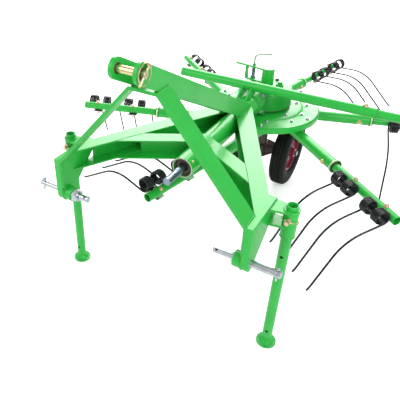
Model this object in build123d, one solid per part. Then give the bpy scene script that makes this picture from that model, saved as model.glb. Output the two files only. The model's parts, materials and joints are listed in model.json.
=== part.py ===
from build123d import *
import math
import os

# Mounted rotary hay rake with one rotor, in millimetres.
# -Y points forward to the tractor, +Z up, and +X to the side that the boom reaches to, which
# is on the right for someone at the tractor who looks back at the machine. In names, left is -X.
# The model is drawn with the rotor axis at X = 0, Y = 0 and the ground at Z = 0.
# At export everything moves so that the box of the whole machine is centred on X = 0, Y = 0.

os.makedirs("parts", exist_ok=True)

# Small common values
overrun = 10.0
fit_gap = 0.3
touch_gap = 0.1

# Three-point headstock
cheek_pitch = 812.0
cheek_t = 26.0
frame_top = 688.0
frame_deep = 88.0
plate_t = 6.0
cheek_len = 186.0
cheek_tail_z = 640.0
pin_y = -1176.0
pin_z = 521.0
nose_r = 32.0

# Lower hitch pins
thin_pin_r = 11.0
thick_pin_r = 14.0
seat_pin_r = 17.0
thin_pin_len = 116.0
thick_pin_len = 108.0
pin_boss_r = 30.0
pin_boss_len = 34.0
pin_chamfer = 2.0

# Main beams: the outer and inner flange edges start on the centre line and run straight, the
# outer to the web's corner inside the cheek's tail, the inner to a place behind the hitch pin
outer_start_y = -230.0
inner_start_y = -408.0
web_corner_in = 5.4
flange_meet = 46.899083

# Cross brace between the beams
brace_setback = 400.0
brace_w = 76.0
brace_out_share = 0.6
brace_t = 5.0

# Bow that carries the top link plates
bow_w = 80.0
bow_t = 12.0
bow_knee_x = 54.0
bow_drop = 88.0
bow_foot_z = 678.0

# Top link plates and pin
link_ahead = 108.0
link_z = 1162.0
link_half_w = 35.0
link_foot_gap = 11.96878
link_plate_t = 12.0
link_gap = 76.0
link_pin_r = 12.5
link_pin_over = 14.0
link_head_r = 17.0
link_head_t = 8.0

# Driveline tube and power shaft
drive_z = 630.0
tube_r = 46.0
tube_wall = 6.0
tube_setback = 262.0
tube_rear_y = -165.0
shaft_out = 122.0
shaft_r = 17.5
spline_root_r = 14.8
spline_count = 6
spline_w_share = 0.5
spline_len = 76.0
spline_groove_w = 9.0
spline_groove_at = 38.0
bearing_in = 38.0
bearing_len = 22.0

# Stands
stand_out = 66.0
stand_ahead = 33.0
leg_r = 20.0
leg_wall = 3.5
leg_top_z = 700.0
foot_r = 40.0
foot_t = 8.0
leg_hole_r = 6.5
leg_hole_pitch = 401.0
leg_hole_count = 2
leg_hole_low_z = 77.0
sleeve_r = 26.0
sleeve_top_z = 684.0
sleeve_len = 118.0
sleeve_pin_z = 650.0
sleeve_pin_r = 7.0
sleeve_pin_len = 18.0
bracket_w = 75.0
bracket_t = 8.0
bracket_upper_z = 680.0
bracket_lower_z = 620.0

# Gearbox drum, neck and mast
drum_r = 137.0
drum_low_z = 570.0
drum_top_z = 657.0
drum_round = 10.0
neck_half = 57.0
neck_t = 15.0
neck_rib_t = 8.0
neck_front_y = -165.0
neck_block_len = 95.0
collar_len = 48.0
collar_front_r = 54.0
collar_rear_r = 62.0
neck_bolt_pitch = 84.0
neck_bolt_r = 9.5
neck_bolt_t = 9.0
mast_r = 32.0
mast_top_z = 755.0
filler_r = 20.0
filler_rise = 20.0
plug_r = 13.0
plug_rise = 12.0
filler_at = 66.0
filler_angle = 12.0

# Height adjuster beside the mast
adjuster_angle = 178.0
adjuster_w = 26.0
adjuster_tip_w = 18.0
adjuster_t = 9.0
adjuster_top_z = 755.0
adjuster_low_z = 686.0
adjuster_reach = 182.0
adjuster_strip_at = 124.0
screw_at = 82.0
screw_r = 8.0
crank_r = 4.5
crank_rise = 54.0
crank_bend_r = 20.0
crank_arm = 68.0
crank_angle = 37.0

# Boom with its telescopic inner tube
boom_y = -218.0
boom_z = 733.0
boom_r = 22.5
boom_wall = 3.0
boom_left_x = -385.0
boom_right_x = 580.0
inner_r = 19.2
inner_wall = 3.0
inner_left_x = 300.0
inner_right_x = 1142.0
boom_bolt_r = 6.0
boom_bolt_x = 527.0
boom_bolt_len = 14.0
saddle_x = -18.0
saddle_half = 26.0
saddle_t = 8.0
saddle_front = 92.0
saddle_rear = 34.0

# Swath curtain at the end of the boom
hanger_w = 50.0
hanger_t = 8.0
hanger_top_z = 760.0
bar_r = 13.5
bar_z = 520.0
bar_front_y = -660.0
bar_rear_y = 340.0
curtain_t = 4.0
curtain_low_z = 85.0
curtain_end = 20.0

# Rotor disc, hub and lower dish
disc_r = 290.0
disc_t = 5.0
disc_top_z = 552.0
disc_rise = 8.0
disc_step_r = 190.0
disc_step_run = 18.0
rim_drop = 29.0
rim_round = 9.0
hub_r = 65.0
hub_low_z = 425.0
column_r = 45.0
dish_t = 4.0
dish_low_z = 434.0

# Tine arms
arm_count = 6
first_arm_angle = -41.8
arm_offset = 84.0
arm_z = 480.0
arm_end = 992.0
arm_r = 20.0
arm_wall = 3.0
arm_inner = 500.0
sleeve_arm_r = 27.5
sleeve_arm_wall = 6.0
sleeve_arm_start = 118.0
sleeve_arm_end = 559.0
collar_arm_r = 32.0
collar_arm_t = 12.0
seat_rim_gap = 75.0
seat_len = 65.0
seat_w = 52.0
# How far the cam has rolled each arm's tine tips down, in degrees, in the order that
# the arms follow each other counter-clockwise from above
arm_roll_angles = [-6.1, 1.3, -28.3, 10.4, -3.5, -36.7]

# Double tines: two on each arm
tine_ats = [712.0, 918.0]
coil_pitch = 77.0
wire_r = 4.5
wire_sides = 8
coil_r = 28.5
coil_turn_count = 4.5
coil_out = 53.4
leg_lift_angle = -23.7
leg_first = 85.0
leg_bend_r = 199.0
leg_bend_angle = 45.5
leg_last = 158.0
leg_kick_r = 90.0
leg_kick_angle = 18.0
clamp_w = 52.0
clamp_long = 40.0
clamp_t = 5.0
clamp_bolt_r = 6.0
clamp_bolt_up = 12.0
clamp_nut_r = 10.0
clamp_nut_t = 9.0

# Centre column, axle and wheels
column_low_z = 262.0
carrier_x = 34.0
carrier_t = 10.0
carrier_front_y = -50.0
carrier_top_z = 330.0
carrier_r = 34.0
axle_y = 200.0
axle_z = 200.0
axle_r = 12.5
axle_len = 352.0
wheel_x = 118.0
tyre_r = 200.0
tyre_w = 100.0
tyre_shoulder = 24.0
tyre_bead_r = 103.0
tyre_bead_w = 66.0
rim_r = 103.0
rim_lip_r = 112.0
rim_lip_t = 4.0
rim_w = 58.0
rim_wall = 3.5
rim_disc_x = 8.0
rim_hub_r = 26.0
rim_hub_len = 86.0
rim_slot_r = 14.0
rim_slot_at = 68.0
rim_slot_count = 6
wheel_bore_gap = 0.05
nut_r = 17.0
nut_t = 10.0

# Values worked out from the ones above
cheek_rear_y = pin_y + cheek_len
stand_y = cheek_rear_y - stand_ahead
link_y = pin_y - link_ahead
bow_top_z = link_z - bow_drop
tube_front_y = pin_y + tube_setback
shaft_front_y = tube_front_y - shaft_out
brace_front_y = pin_y + brace_setback
brace_rear_y = brace_front_y + brace_w
frame_low = frame_top - frame_deep
cheek_half = cheek_pitch / 2
cheek_in_x = cheek_half - cheek_t / 2
cheek_out_x = cheek_half + cheek_t / 2
cheek_front_y = pin_y - nose_r
stand_x = cheek_out_x + stand_out
outer_spread_share = (cheek_in_x - web_corner_in) / (outer_start_y - cheek_rear_y)
inner_spread_share = cheek_in_x / (inner_start_y - pin_y - flange_meet)
link_rise = link_z - frame_top
link_run = boom_y - saddle_front - link_foot_gap - link_y
link_slope = math.atan2(link_rise, link_run) + math.asin(link_half_w / math.hypot(link_rise, link_run))
web_top = frame_top - plate_t
web_low = frame_low + plate_t
seat_end = disc_r - seat_rim_gap
seat_start = seat_end - seat_len
wire_under = arm_r + wire_r + touch_gap
coil_up = coil_r - wire_under


def turned(point, degrees):
    """Turn a plan point about the rotor axis."""
    angle = math.radians(degrees)
    x, y = point
    return (x * math.cos(angle) - y * math.sin(angle), x * math.sin(angle) + y * math.cos(angle))


def mirrored(points, side):
    """Plan points on the given side, +1 or -1."""
    return [(side * x, y) for x, y in points]


def plan_plate(points, low, high):
    """A plate drawn in plan, from one height to another."""
    face = make_face(Polyline(*points, close=True))
    return extrude(Plane.XY.offset(low) * face, amount=high - low)


def side_plate(points, left, right):
    """A plate drawn in the Y-Z plane, from one X to another."""
    face = make_face(Polyline(*points, close=True))
    return extrude(Plane.YZ.offset(left) * face, amount=right - left)


def rod(start, end, radius):
    """A round bar between two points."""
    line = Vector(*end) - Vector(*start)
    bar = Cylinder(radius, line.length, align=(Align.CENTER, Align.CENTER, Align.MIN))
    return Plane(origin=start, z_dir=line) * bar


def pipe(start, end, radius, wall):
    """A round tube between two points."""
    return rod(start, end, radius) - rod(start, end, radius - wall)


def hex_head(start, end, radius):
    """A six-sided bolt head or nut between two points."""
    line = Vector(*end) - Vector(*start)
    return Plane(origin=start, z_dir=line) * extrude(RegularPolygon(radius, 6), amount=line.length)


def drive_core(radius):
    """The driveline's cylinder, used to cut what meets the tube."""
    return rod((0, tube_front_y - overrun, drive_z), (0, tube_rear_y + overrun, drive_z), radius)


def outer_x(y):
    return (outer_start_y - y) * outer_spread_share


def inner_x(y):
    return (inner_start_y - y) * inner_spread_share


def inner_y(x):
    return inner_start_y - x / inner_spread_share


# Frame

def beam(side):
    """A channel from cheek to gearbox, open to the front, with its top flange run out
    over the cheek."""
    tail = (outer_x(cheek_rear_y), cheek_rear_y)
    lower = [(cheek_in_x, cheek_rear_y), tail, (0, outer_start_y), (0, inner_start_y),
             (cheek_in_x, inner_y(cheek_in_x))]
    upper = [(cheek_out_x, cheek_front_y), (cheek_out_x, cheek_rear_y), tail, (0, outer_start_y),
             (0, inner_start_y), (cheek_in_x, inner_y(cheek_in_x)), (cheek_in_x, cheek_front_y)]
    web_run = plate_t * math.hypot(1, outer_spread_share) / outer_spread_share
    web = [(cheek_in_x, cheek_rear_y), tail, (0, outer_start_y), (0, outer_start_y - web_run),
           (outer_x(cheek_rear_y + web_run), cheek_rear_y), (outer_x(cheek_rear_y + web_run),
           cheek_rear_y - plate_t), (cheek_in_x, cheek_rear_y - plate_t)]
    body = plan_plate(mirrored(upper, side), web_top, frame_top)
    body += plan_plate(mirrored(web, side), web_low, web_top)
    body += plan_plate(mirrored(lower, side), frame_low, web_low)
    return body - drive_core(tube_r)


def brace(side):
    """Half of the V-shaped channel that ties a beam to the driveline tube."""
    def on_beam(start):
        y = (inner_start_y * inner_spread_share - start / brace_out_share)
        y = y / (inner_spread_share - 1 / brace_out_share)
        return (inner_x(y), y)

    front = on_beam(brace_front_y)
    rear = on_beam(brace_rear_y)
    flange = [(0, brace_front_y), front, rear, (0, brace_rear_y)]
    web_run = brace_t * math.hypot(1, brace_out_share)
    web_end = on_beam(brace_rear_y - web_run)
    web = [(0, brace_rear_y - web_run), web_end, rear, (0, brace_rear_y)]
    body = plan_plate(mirrored(flange, side), frame_top - brace_t, frame_top)
    body += plan_plate(mirrored(web, side), frame_low, frame_top)
    body += plan_plate(mirrored(flange, side), frame_low, frame_low + brace_t)
    return body - drive_core(tube_r)


def pin_seat(side):
    """The X range of a cheek with the boss on its inside."""
    return sorted((side * (cheek_in_x - pin_boss_len), side * cheek_out_x))


def cheek(side):
    """An upright plate that tapers down to the round nose and boss around its hitch pin."""
    reach_y = cheek_rear_y - pin_y
    reach_z = cheek_tail_z - pin_z
    reach = math.hypot(reach_y, reach_z)
    tangent = math.atan2(reach_z, reach_y) - math.acos(nose_r / reach)
    heel = (pin_y + nose_r * math.cos(tangent), pin_z + nose_r * math.sin(tangent))
    outline = [(cheek_front_y, web_top), (cheek_front_y, pin_z), (pin_y, pin_z), heel,
               (cheek_rear_y, cheek_tail_z), (cheek_rear_y, web_top)]
    left, right = sorted((side * cheek_in_x, side * cheek_out_x))
    body = side_plate(outline, left, right)
    body += rod((left, pin_y, pin_z), (right, pin_y, pin_z), nose_r)
    start, end = pin_seat(side)
    body += rod((start, pin_y, pin_z), (end, pin_y, pin_z), pin_boss_r)
    return body - rod((start - overrun, pin_y, pin_z), (end + overrun, pin_y, pin_z), seat_pin_r)


def lower_pin(side):
    """A stepped hitch pin: thin end to -X, thick end to +X."""
    left, right = sorted((side * cheek_in_x, side * cheek_out_x))
    body = rod((left, pin_y, pin_z), (right + thick_pin_len, pin_y, pin_z), thick_pin_r)
    body += rod((left - thin_pin_len, pin_y, pin_z), (left, pin_y, pin_z), thin_pin_r)
    body = chamfer(body.edges().filter_by(GeomType.CIRCLE).group_by(Axis.X)[-1], pin_chamfer)
    body = chamfer(body.edges().filter_by(GeomType.CIRCLE).group_by(Axis.X)[0], pin_chamfer)
    start, end = pin_seat(side)
    return body + rod((start, pin_y, pin_z), (end, pin_y, pin_z), seat_pin_r)


def bow():
    """A flat bar bent over the hitch, from cheek to cheek."""
    middle_z = bow_top_z - bow_t / 2
    foot = (cheek_in_x + overrun, bow_foot_z - overrun)
    knee = (bow_knee_x, middle_z)
    path = Polyline((-foot[0], foot[1]), (-knee[0], knee[1]), knee, foot)
    ribbon = offset(path, amount=bow_t / 2, side=Side.BOTH, closed=True)
    face = make_face(ribbon.edges()) if not ribbon.faces() else ribbon
    body = extrude(Plane.XZ.offset(-cheek_front_y) * face, amount=-bow_w)
    keep = Box(2 * cheek_in_x, 2 * bow_w, frame_top, align=(Align.CENTER, Align.CENTER, Align.MIN))
    middle_y = cheek_front_y + bow_w / 2
    lift = bow_foot_z - 2 * bow_t
    return body & (Location((0, middle_y, lift)) * keep)


def link_edge(sign):
    """A point on the upper or lower edge line of the link plates."""
    across = sign * link_half_w
    return (link_y + across * math.sin(link_slope), link_z + across * math.cos(link_slope))


def link_plate(side, bow_body):
    """A sloping plate from the top link pin down to the gearbox end of the beams."""
    slope = math.tan(link_slope)
    high = link_edge(1)
    low = link_edge(-1)
    outline = [high, (high[0] + (high[1] - frame_top) / slope, frame_top),
               (low[0] + (low[1] - frame_top) / slope, frame_top), low]
    left, right = sorted((side * link_gap / 2, side * (link_gap / 2 + link_plate_t)))
    body = side_plate(outline, left, right)
    body += rod((left, link_y, link_z), (right, link_y, link_z), link_half_w)
    body -= rod((left - overrun, link_y, link_z), (right + overrun, link_y, link_z), link_pin_r)
    return body - bow_body


def link_pin():
    reach = link_gap / 2 + link_plate_t
    body = rod((-reach, link_y, link_z), (reach + link_pin_over, link_y, link_z), link_pin_r)
    return body + rod((-reach - link_head_t, link_y, link_z), (-reach, link_y, link_z), link_head_r)


# Driveline

def drive_tube():
    """The tube that guards the power shaft, with the bearing seat inside its front."""
    front = (0, tube_front_y, drive_z)
    body = pipe(front, (0, tube_rear_y, drive_z), tube_r, tube_wall)
    seat_y = tube_front_y + bearing_in
    seat = rod((0, seat_y, drive_z), (0, seat_y + bearing_len, drive_z), tube_r - tube_wall)
    seat -= rod((0, seat_y - overrun, drive_z), (0, seat_y + bearing_len + overrun, drive_z),
                shaft_r + wheel_bore_gap)
    return body + seat


def power_shaft():
    """The splined input shaft, with the snap groove of its coupling."""
    end_y = tube_front_y + bearing_in + 2 * bearing_len
    body = rod((0, shaft_front_y, drive_z), (0, end_y, drive_z), shaft_r)
    step = 360.0 / spline_count
    slot_w = 2 * math.pi * shaft_r / spline_count * spline_w_share
    slot = Box(slot_w, spline_len, shaft_r, align=(Align.CENTER, Align.MIN, Align.MIN))
    for number in range(spline_count):
        cut = Rot(0, number * step, 0) * Location((0, 0, spline_root_r)) * slot
        body -= Location((0, shaft_front_y, drive_z)) * cut
    groove_y = shaft_front_y + spline_groove_at
    groove = rod((0, groove_y, drive_z), (0, groove_y + spline_groove_w, drive_z), shaft_r + overrun)
    groove -= rod((0, groove_y - overrun, drive_z), (0, groove_y + 2 * overrun, drive_z), spline_root_r)
    return body - groove


# Stands

def stand_leg(side):
    """A tubular leg on a round foot, with its row of locking holes."""
    x = side * stand_x
    body = pipe((x, stand_y, foot_t), (x, stand_y, leg_top_z), leg_r, leg_wall)
    for number in range(leg_hole_count):
        z = leg_hole_low_z + number * leg_hole_pitch
        body -= rod((x, stand_y - foot_r, z), (x, stand_y + foot_r, z), leg_hole_r)
    return body + rod((x, stand_y, 0), (x, stand_y, foot_t), foot_r)


def stand_sleeve(side):
    """The sleeve that guides a leg, on its two bracket plates."""
    x = side * stand_x
    low = sleeve_top_z - sleeve_len
    body = rod((x, stand_y, low), (x, stand_y, sleeve_top_z), sleeve_r)
    plate = [(cheek_out_x, stand_y - bracket_w / 2), (cheek_out_x, cheek_rear_y),
             (stand_x, stand_y + sleeve_r), (stand_x, stand_y - sleeve_r)]
    for top in (bracket_upper_z, bracket_lower_z):
        body += plan_plate(mirrored(plate, side), top - bracket_t, top)
    body -= rod((x, stand_y, low - overrun), (x, stand_y, sleeve_top_z + overrun), leg_r + fit_gap)
    return body


def sleeve_pin(side):
    """The spring plunger on the sleeve's front that locks the leg."""
    x = side * stand_x
    return rod((x, stand_y - sleeve_r - sleeve_pin_len, sleeve_pin_z),
               (x, stand_y - sleeve_r, sleeve_pin_z), sleeve_pin_r)


# Gearbox, mast and adjuster

def gearbox():
    """The closed drum above the rotor, with its driveline block and filler plug."""
    body = rod((0, 0, drum_low_z), (0, 0, drum_top_z), drum_r)
    body = fillet(body.edges().filter_by(GeomType.CIRCLE).group_by(Axis.Z)[-1], drum_round)
    block = Box(2 * neck_half, neck_block_len, 2 * neck_half, align=(Align.CENTER, Align.MIN, Align.CENTER))
    body += Location((0, neck_front_y + neck_t, drive_z)) * block
    x, y = turned((filler_at, 0), filler_angle)
    plug_z = drum_top_z + filler_rise
    body += rod((x, y, drum_top_z), (x, y, plug_z), filler_r)
    return body + hex_head((x, y, plug_z), (x, y, plug_z + plug_rise), plug_r)


def gearbox_neck():
    """The square flange and ribbed collar that hold the driveline tube to the gearbox."""
    collar_front_y = neck_front_y - collar_len
    face = (0, neck_front_y, drive_z)
    flange = Box(2 * neck_half, neck_t, 2 * neck_half, align=(Align.CENTER, Align.MIN, Align.CENTER))
    body = Location(face) * flange
    cone = Cone(collar_rear_r, collar_front_r, collar_len, align=(Align.CENTER, Align.CENTER, Align.MIN))
    collar = Plane(origin=face, z_dir=(0, -1, 0)) * cone
    keep = Box(2 * neck_half, 4 * collar_len, 2 * neck_half)
    body += collar & (Location(face) * keep)
    half = neck_bolt_pitch / 2
    for x in (-half, half):
        for z in (drive_z - half, drive_z + half):
            body += hex_head((x, neck_front_y, z), (x, neck_front_y - neck_bolt_t, z), neck_bolt_r)
    rib = [(0, neck_front_y), (-neck_half, neck_front_y), (-collar_front_r, collar_front_y),
           (0, collar_front_y)]
    for side in (-1, 1):
        body += plan_plate(mirrored(rib, side), drive_z - neck_rib_t / 2, drive_z + neck_rib_t / 2)
    core = rod((0, collar_front_y - overrun, drive_z), (0, neck_front_y, drive_z), tube_r)
    return body - core


def mast():
    """The capped column with the bracket that carries the height screw."""
    body = rod((0, 0, drum_top_z), (0, 0, mast_top_z), mast_r)

    half = adjuster_w / 2
    tip = adjuster_tip_w / 2
    start = adjuster_strip_at - adjuster_t
    end = adjuster_strip_at
    blade = [(0, -mast_r), (end, -half), (adjuster_reach, -tip), (adjuster_reach, tip), (end, half),
             (0, mast_r)]
    shelf = [(0, -mast_r), (end, -half), (end, half), (0, mast_r)]
    strip = [(start, -half), (end, -half), (end, half), (start, half)]
    low = adjuster_low_z - adjuster_t
    for corners, below, above in ((blade, adjuster_top_z - adjuster_t, adjuster_top_z),
                                  (shelf, low, adjuster_low_z), (strip, low, adjuster_top_z)):
        body += plan_plate([turned(corner, adjuster_angle) for corner in corners], below, above)
    x, y = turned((screw_at, 0), adjuster_angle)
    return body - rod((x, y, drum_top_z), (x, y, mast_top_z + overrun), screw_r)


def crank():
    """The height screw with its bent crank handle."""
    x, y = turned((screw_at, 0), adjuster_angle)
    body = rod((x, y, adjuster_low_z - 2 * adjuster_t), (x, y, adjuster_top_z + adjuster_t), screw_r)
    foot = adjuster_top_z
    bend_z = foot + crank_rise - crank_bend_r
    rise = Line((0, 0, foot), (0, 0, bend_z))
    bend = ThreePointArc((0, 0, bend_z),
                         (crank_bend_r * (1 - math.cos(math.pi / 4)), 0,
                          bend_z + crank_bend_r * math.sin(math.pi / 4)),
                         (crank_bend_r, 0, bend_z + crank_bend_r))
    arm = Line((crank_bend_r, 0, bend_z + crank_bend_r), (crank_bend_r + crank_arm, 0, bend_z + crank_bend_r))
    path = Wire([rise.edge(), bend.edge(), arm.edge()])
    handle = sweep(Plane.XY.offset(foot) * Circle(crank_r), path=path)
    return body + Location((x, y, 0), (0, 0, crank_angle)) * handle


# Boom and swath curtain

def boom():
    body = pipe((boom_left_x, boom_y, boom_z), (boom_right_x, boom_y, boom_z), boom_r, boom_wall)
    bolt_z = boom_z + boom_r - boom_wall / 2
    bolt = rod((boom_bolt_x, boom_y, bolt_z), (boom_bolt_x, boom_y, bolt_z + boom_bolt_len), boom_bolt_r)
    return body + bolt


def boom_saddle():
    """Two upright plates on the beams that carry the boom."""
    body = None
    for x in (saddle_x - saddle_half, saddle_x + saddle_half - saddle_t):
        outline = [(boom_y - saddle_front, frame_top), (boom_y + saddle_rear, frame_top),
                   (boom_y + saddle_rear, boom_z), (boom_y - boom_r, boom_z)]
        plate = side_plate(outline, x, x + saddle_t)
        body = plate if body is None else body + plate
    return body - rod((boom_left_x, boom_y, boom_z), (boom_right_x, boom_y, boom_z), boom_r)


def boom_inner():
    return pipe((inner_left_x, boom_y, boom_z), (inner_right_x, boom_y, boom_z), inner_r, inner_wall)


def curtain_hanger():
    """The upright plate on the inner tube's end."""
    plate = Box(hanger_t, hanger_w, hanger_top_z - bar_z, align=(Align.MIN, Align.CENTER, Align.MIN))
    body = Location((inner_right_x, boom_y, bar_z)) * plate
    return body - curtain_bar()


def curtain_bar():
    """The bar that the curtain hangs from, level with the machine's run."""
    x = inner_right_x + hanger_t / 2
    return rod((x, bar_front_y, bar_z), (x, bar_rear_y, bar_z), bar_r)


def curtain():
    """The cloth that stops the swath, hung from the bar."""
    x = inner_right_x + hanger_t / 2
    high = bar_z - bar_r
    sheet = Box(curtain_t, bar_rear_y - bar_front_y - 2 * curtain_end, high - curtain_low_z,
                align=(Align.CENTER, Align.MIN, Align.MIN))
    return Location((x, bar_front_y + curtain_end, curtain_low_z)) * sheet


# Rotor

def arm_line(number):
    """Direction, outward tine direction and foot point of an arm's axis."""
    angle = math.radians(first_arm_angle + number * 360.0 / arm_count)
    along = Vector(math.cos(angle), math.sin(angle), 0)
    trail = Vector(math.sin(angle), -math.cos(angle), 0)
    return along, trail, Vector(0, 0, arm_z) - trail * arm_offset


def on_arm(number, reach):
    along, trail, foot = arm_line(number)
    return tuple(foot + along * reach)


def spun(points):
    """A body turned round the rotor axis from a closed outline of radius and height."""
    face = Plane.XZ * make_face(Polyline(*points, close=True))
    return revolve(face, axis=Axis.Z)


def rotor_disc():
    """The pressed disc: raised middle, sloped step and turned-down rim."""
    middle = disc_top_z + disc_rise
    rim_low = disc_top_z - rim_drop
    inner_step = disc_step_r + disc_step_run
    upper = [(hub_r, middle), (disc_step_r, middle), (inner_step, disc_top_z),
             (disc_r - rim_round, disc_top_z), (disc_r, disc_top_z - rim_round), (disc_r, rim_low)]
    lower = [(disc_r - disc_t, rim_low), (disc_r - disc_t, disc_top_z - rim_round),
             (disc_r - rim_round, disc_top_z - disc_t), (inner_step, disc_top_z - disc_t),
             (disc_step_r, middle - disc_t), (hub_r, middle - disc_t)]
    return spun(upper + lower)


def rotor_hub():
    """The bearing hub that turns on the fixed column."""
    middle = disc_top_z + disc_rise
    body = rod((0, 0, hub_low_z), (0, 0, middle), hub_r)
    return body - rod((0, 0, hub_low_z - overrun), (0, 0, middle + overrun), column_r + fit_gap)


def rotor_dish():
    """The shallow cone from rim to hub under the disc, slotted for each arm sleeve."""
    rim_low = disc_top_z - rim_drop
    outline = [(hub_r, dish_low_z), (disc_r, rim_low), (disc_r - disc_t, rim_low),
               (hub_r, dish_low_z + dish_t)]
    body = spun(outline)
    for number in range(arm_count):
        body -= rod(on_arm(number, sleeve_arm_start), on_arm(number, sleeve_arm_end), sleeve_arm_r)
        body -= sleeve_seat(number)
    return body


def sleeve_seat(number):
    """The block that holds an arm sleeve under the disc."""
    high = disc_top_z - disc_t - arm_z
    along, trail, foot = arm_line(number)
    block = Box(seat_end - seat_start, seat_w, high, align=(Align.MIN, Align.CENTER, Align.MIN))
    return Plane(origin=on_arm(number, seat_start), x_dir=along, z_dir=(0, 0, 1)) * block


def arm_sleeve(number):
    """The bearing sleeve of a tine arm, its end collar and its seat under the disc."""
    body = sleeve_seat(number)
    body += rod(on_arm(number, sleeve_arm_start), on_arm(number, sleeve_arm_end), sleeve_arm_r)
    body -= rod(on_arm(number, sleeve_arm_start + sleeve_arm_wall), on_arm(number, sleeve_arm_end),
                sleeve_arm_r - sleeve_arm_wall)
    collar = rod(on_arm(number, sleeve_arm_end), on_arm(number, sleeve_arm_end + collar_arm_t), collar_arm_r)
    collar -= rod(on_arm(number, sleeve_arm_end - overrun),
                  on_arm(number, sleeve_arm_end + collar_arm_t + overrun), arm_r)
    return body + collar


def tine_plane(number, reach):
    """The plane across an arm: X to the tine side, Y up, both rolled with the arm."""
    along, trail, foot = arm_line(number)
    roll = math.radians(arm_roll_angles[number])
    out = trail * math.cos(roll) - Vector(0, 0, 1) * math.sin(roll)
    return Plane(origin=on_arm(number, reach), x_dir=out, z_dir=-along)


def tine_arm(number):
    """The tube that the cam rolls, drilled for its two tine bolts."""
    body = pipe(on_arm(number, arm_inner), on_arm(number, arm_end), arm_r, arm_wall)
    for reach in tine_ats:
        plane = tine_plane(number, reach)
        bolt = Cylinder(clamp_bolt_r, 4 * arm_r, rotation=(90, 0, 0))
        body -= plane * bolt
    return body


def tine_leg():
    """One leg: straight off the coil, a long bend down, straight, and a kick at the tip."""
    lift = math.radians(leg_lift_angle)
    start = Vector(coil_out + coil_r * math.sin(lift), coil_up - coil_r * math.cos(lift))
    heading = Vector(math.cos(lift), math.sin(lift))
    first = Line(start, start + heading * leg_first)
    bend = JernArc(first @ 1, first % 1, leg_bend_r, -leg_bend_angle)
    last = Line(bend @ 1, bend @ 1 + (bend % 1) * leg_last)
    kick = JernArc(last @ 1, last % 1, leg_kick_r, leg_kick_angle)
    path = Wire([first.edge(), bend.edge(), last.edge(), kick.edge()])
    profile = Plane(origin=start, z_dir=heading) * RegularPolygon(wire_r, wire_sides)
    return sweep(profile, path=path)


def double_tine():
    """A tine in its own plane: two coils with a leg each, tied under the arm tube."""
    coil_len = 2 * wire_r * coil_turn_count
    leg = tine_leg()
    tie = (coil_pitch - coil_len) / 2 + wire_r
    body = rod((0, -wire_under, -tie - wire_r), (0, -wire_under, tie + wire_r), wire_r)
    for side in (-1, 1):
        coil = Cylinder(coil_r + wire_r, coil_len) - Cylinder(coil_r - wire_r, coil_len)
        body += Location((coil_out, coil_up, side * coil_pitch / 2)) * coil
        body += Location((0, 0, side * (coil_pitch / 2 + coil_len / 2 - wire_r))) * leg
        body += rod((0, -wire_under, side * tie), (coil_out, -wire_under, side * tie), wire_r)
    plate_top = -wire_under - wire_r / 2
    plate = Box(clamp_w, clamp_t, clamp_long, align=(Align.CENTER, Align.MAX, Align.CENTER))
    body += Location((0, plate_top, 0)) * plate
    low = plate_top - clamp_t - clamp_nut_t
    body += rod((0, low, 0), (0, arm_r + clamp_bolt_up, 0), clamp_bolt_r)
    body += hex_head((0, low, 0), (0, plate_top - clamp_t, 0), clamp_nut_r)
    return body


def tines(number):
    """Both double tines of an arm."""
    return [tine_plane(number, reach) * one_tine for reach in tine_ats]


# Undercarriage

def centre_column():
    """The fixed column through the rotor, with the plates that hold the axle."""
    body = rod((0, 0, column_low_z), (0, 0, drum_low_z), column_r)
    rear = (axle_y, axle_z)
    outline = [(carrier_front_y, carrier_top_z), (carrier_front_y, column_low_z),
               (axle_y, axle_z - carrier_r), rear, (axle_y, axle_z + carrier_r),
               (column_r, carrier_top_z)]
    for side in (-1, 1):
        left, right = sorted((side * carrier_x, side * (carrier_x + carrier_t)))
        body += side_plate(outline, left, right)
        body += rod((left, axle_y, axle_z), (right, axle_y, axle_z), carrier_r)
    body += rod((-carrier_x, axle_y, axle_z), (carrier_x, axle_y, axle_z), carrier_r / 2 + carrier_t)
    return body - rod((-axle_len, axle_y, axle_z), (axle_len, axle_y, axle_z), axle_r)


def axle():
    """The through axle with a nut at each end."""
    half = axle_len / 2
    body = rod((-half, axle_y, axle_z), (half, axle_y, axle_z), axle_r)
    for side in (-1, 1):
        body += hex_head((side * (half - nut_t), axle_y, axle_z), (side * half, axle_y, axle_z), nut_r)
    return body


def wheel_spun(points):
    """A body turned round the wheel's own axis from an outline of X and radius."""
    face = Plane.XZ * make_face(Polyline(*points, close=True))
    return revolve(face, axis=Axis.X)


def rim():
    """A pressed wheel: two lips, a well, a disc with round holes, and its hub."""
    half = rim_w / 2
    seat = half - rim_lip_t
    barrel = [(-half, rim_r - rim_wall), (half, rim_r - rim_wall), (half, rim_lip_r), (seat, rim_lip_r),
              (seat, rim_r), (-seat, rim_r), (-seat, rim_lip_r), (-half, rim_lip_r)]
    body = wheel_spun(barrel)
    web = [(rim_disc_x, rim_hub_r - rim_wall), (rim_disc_x + rim_lip_t, rim_hub_r - rim_wall),
           (rim_disc_x + rim_lip_t, rim_r - rim_wall), (rim_disc_x, rim_r - rim_wall)]
    body += wheel_spun(web)
    for number in range(rim_slot_count):
        angle = 2 * math.pi * number / rim_slot_count
        y = rim_slot_at * math.cos(angle)
        z = rim_slot_at * math.sin(angle)
        body -= rod((rim_disc_x - overrun, y, z), (rim_disc_x + 2 * overrun, y, z), rim_slot_r)
    body += rod((-rim_hub_len / 2, 0, 0), (rim_hub_len / 2, 0, 0), rim_hub_r)
    return body - rod((-rim_hub_len, 0, 0), (rim_hub_len, 0, 0), axle_r + wheel_bore_gap)


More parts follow.
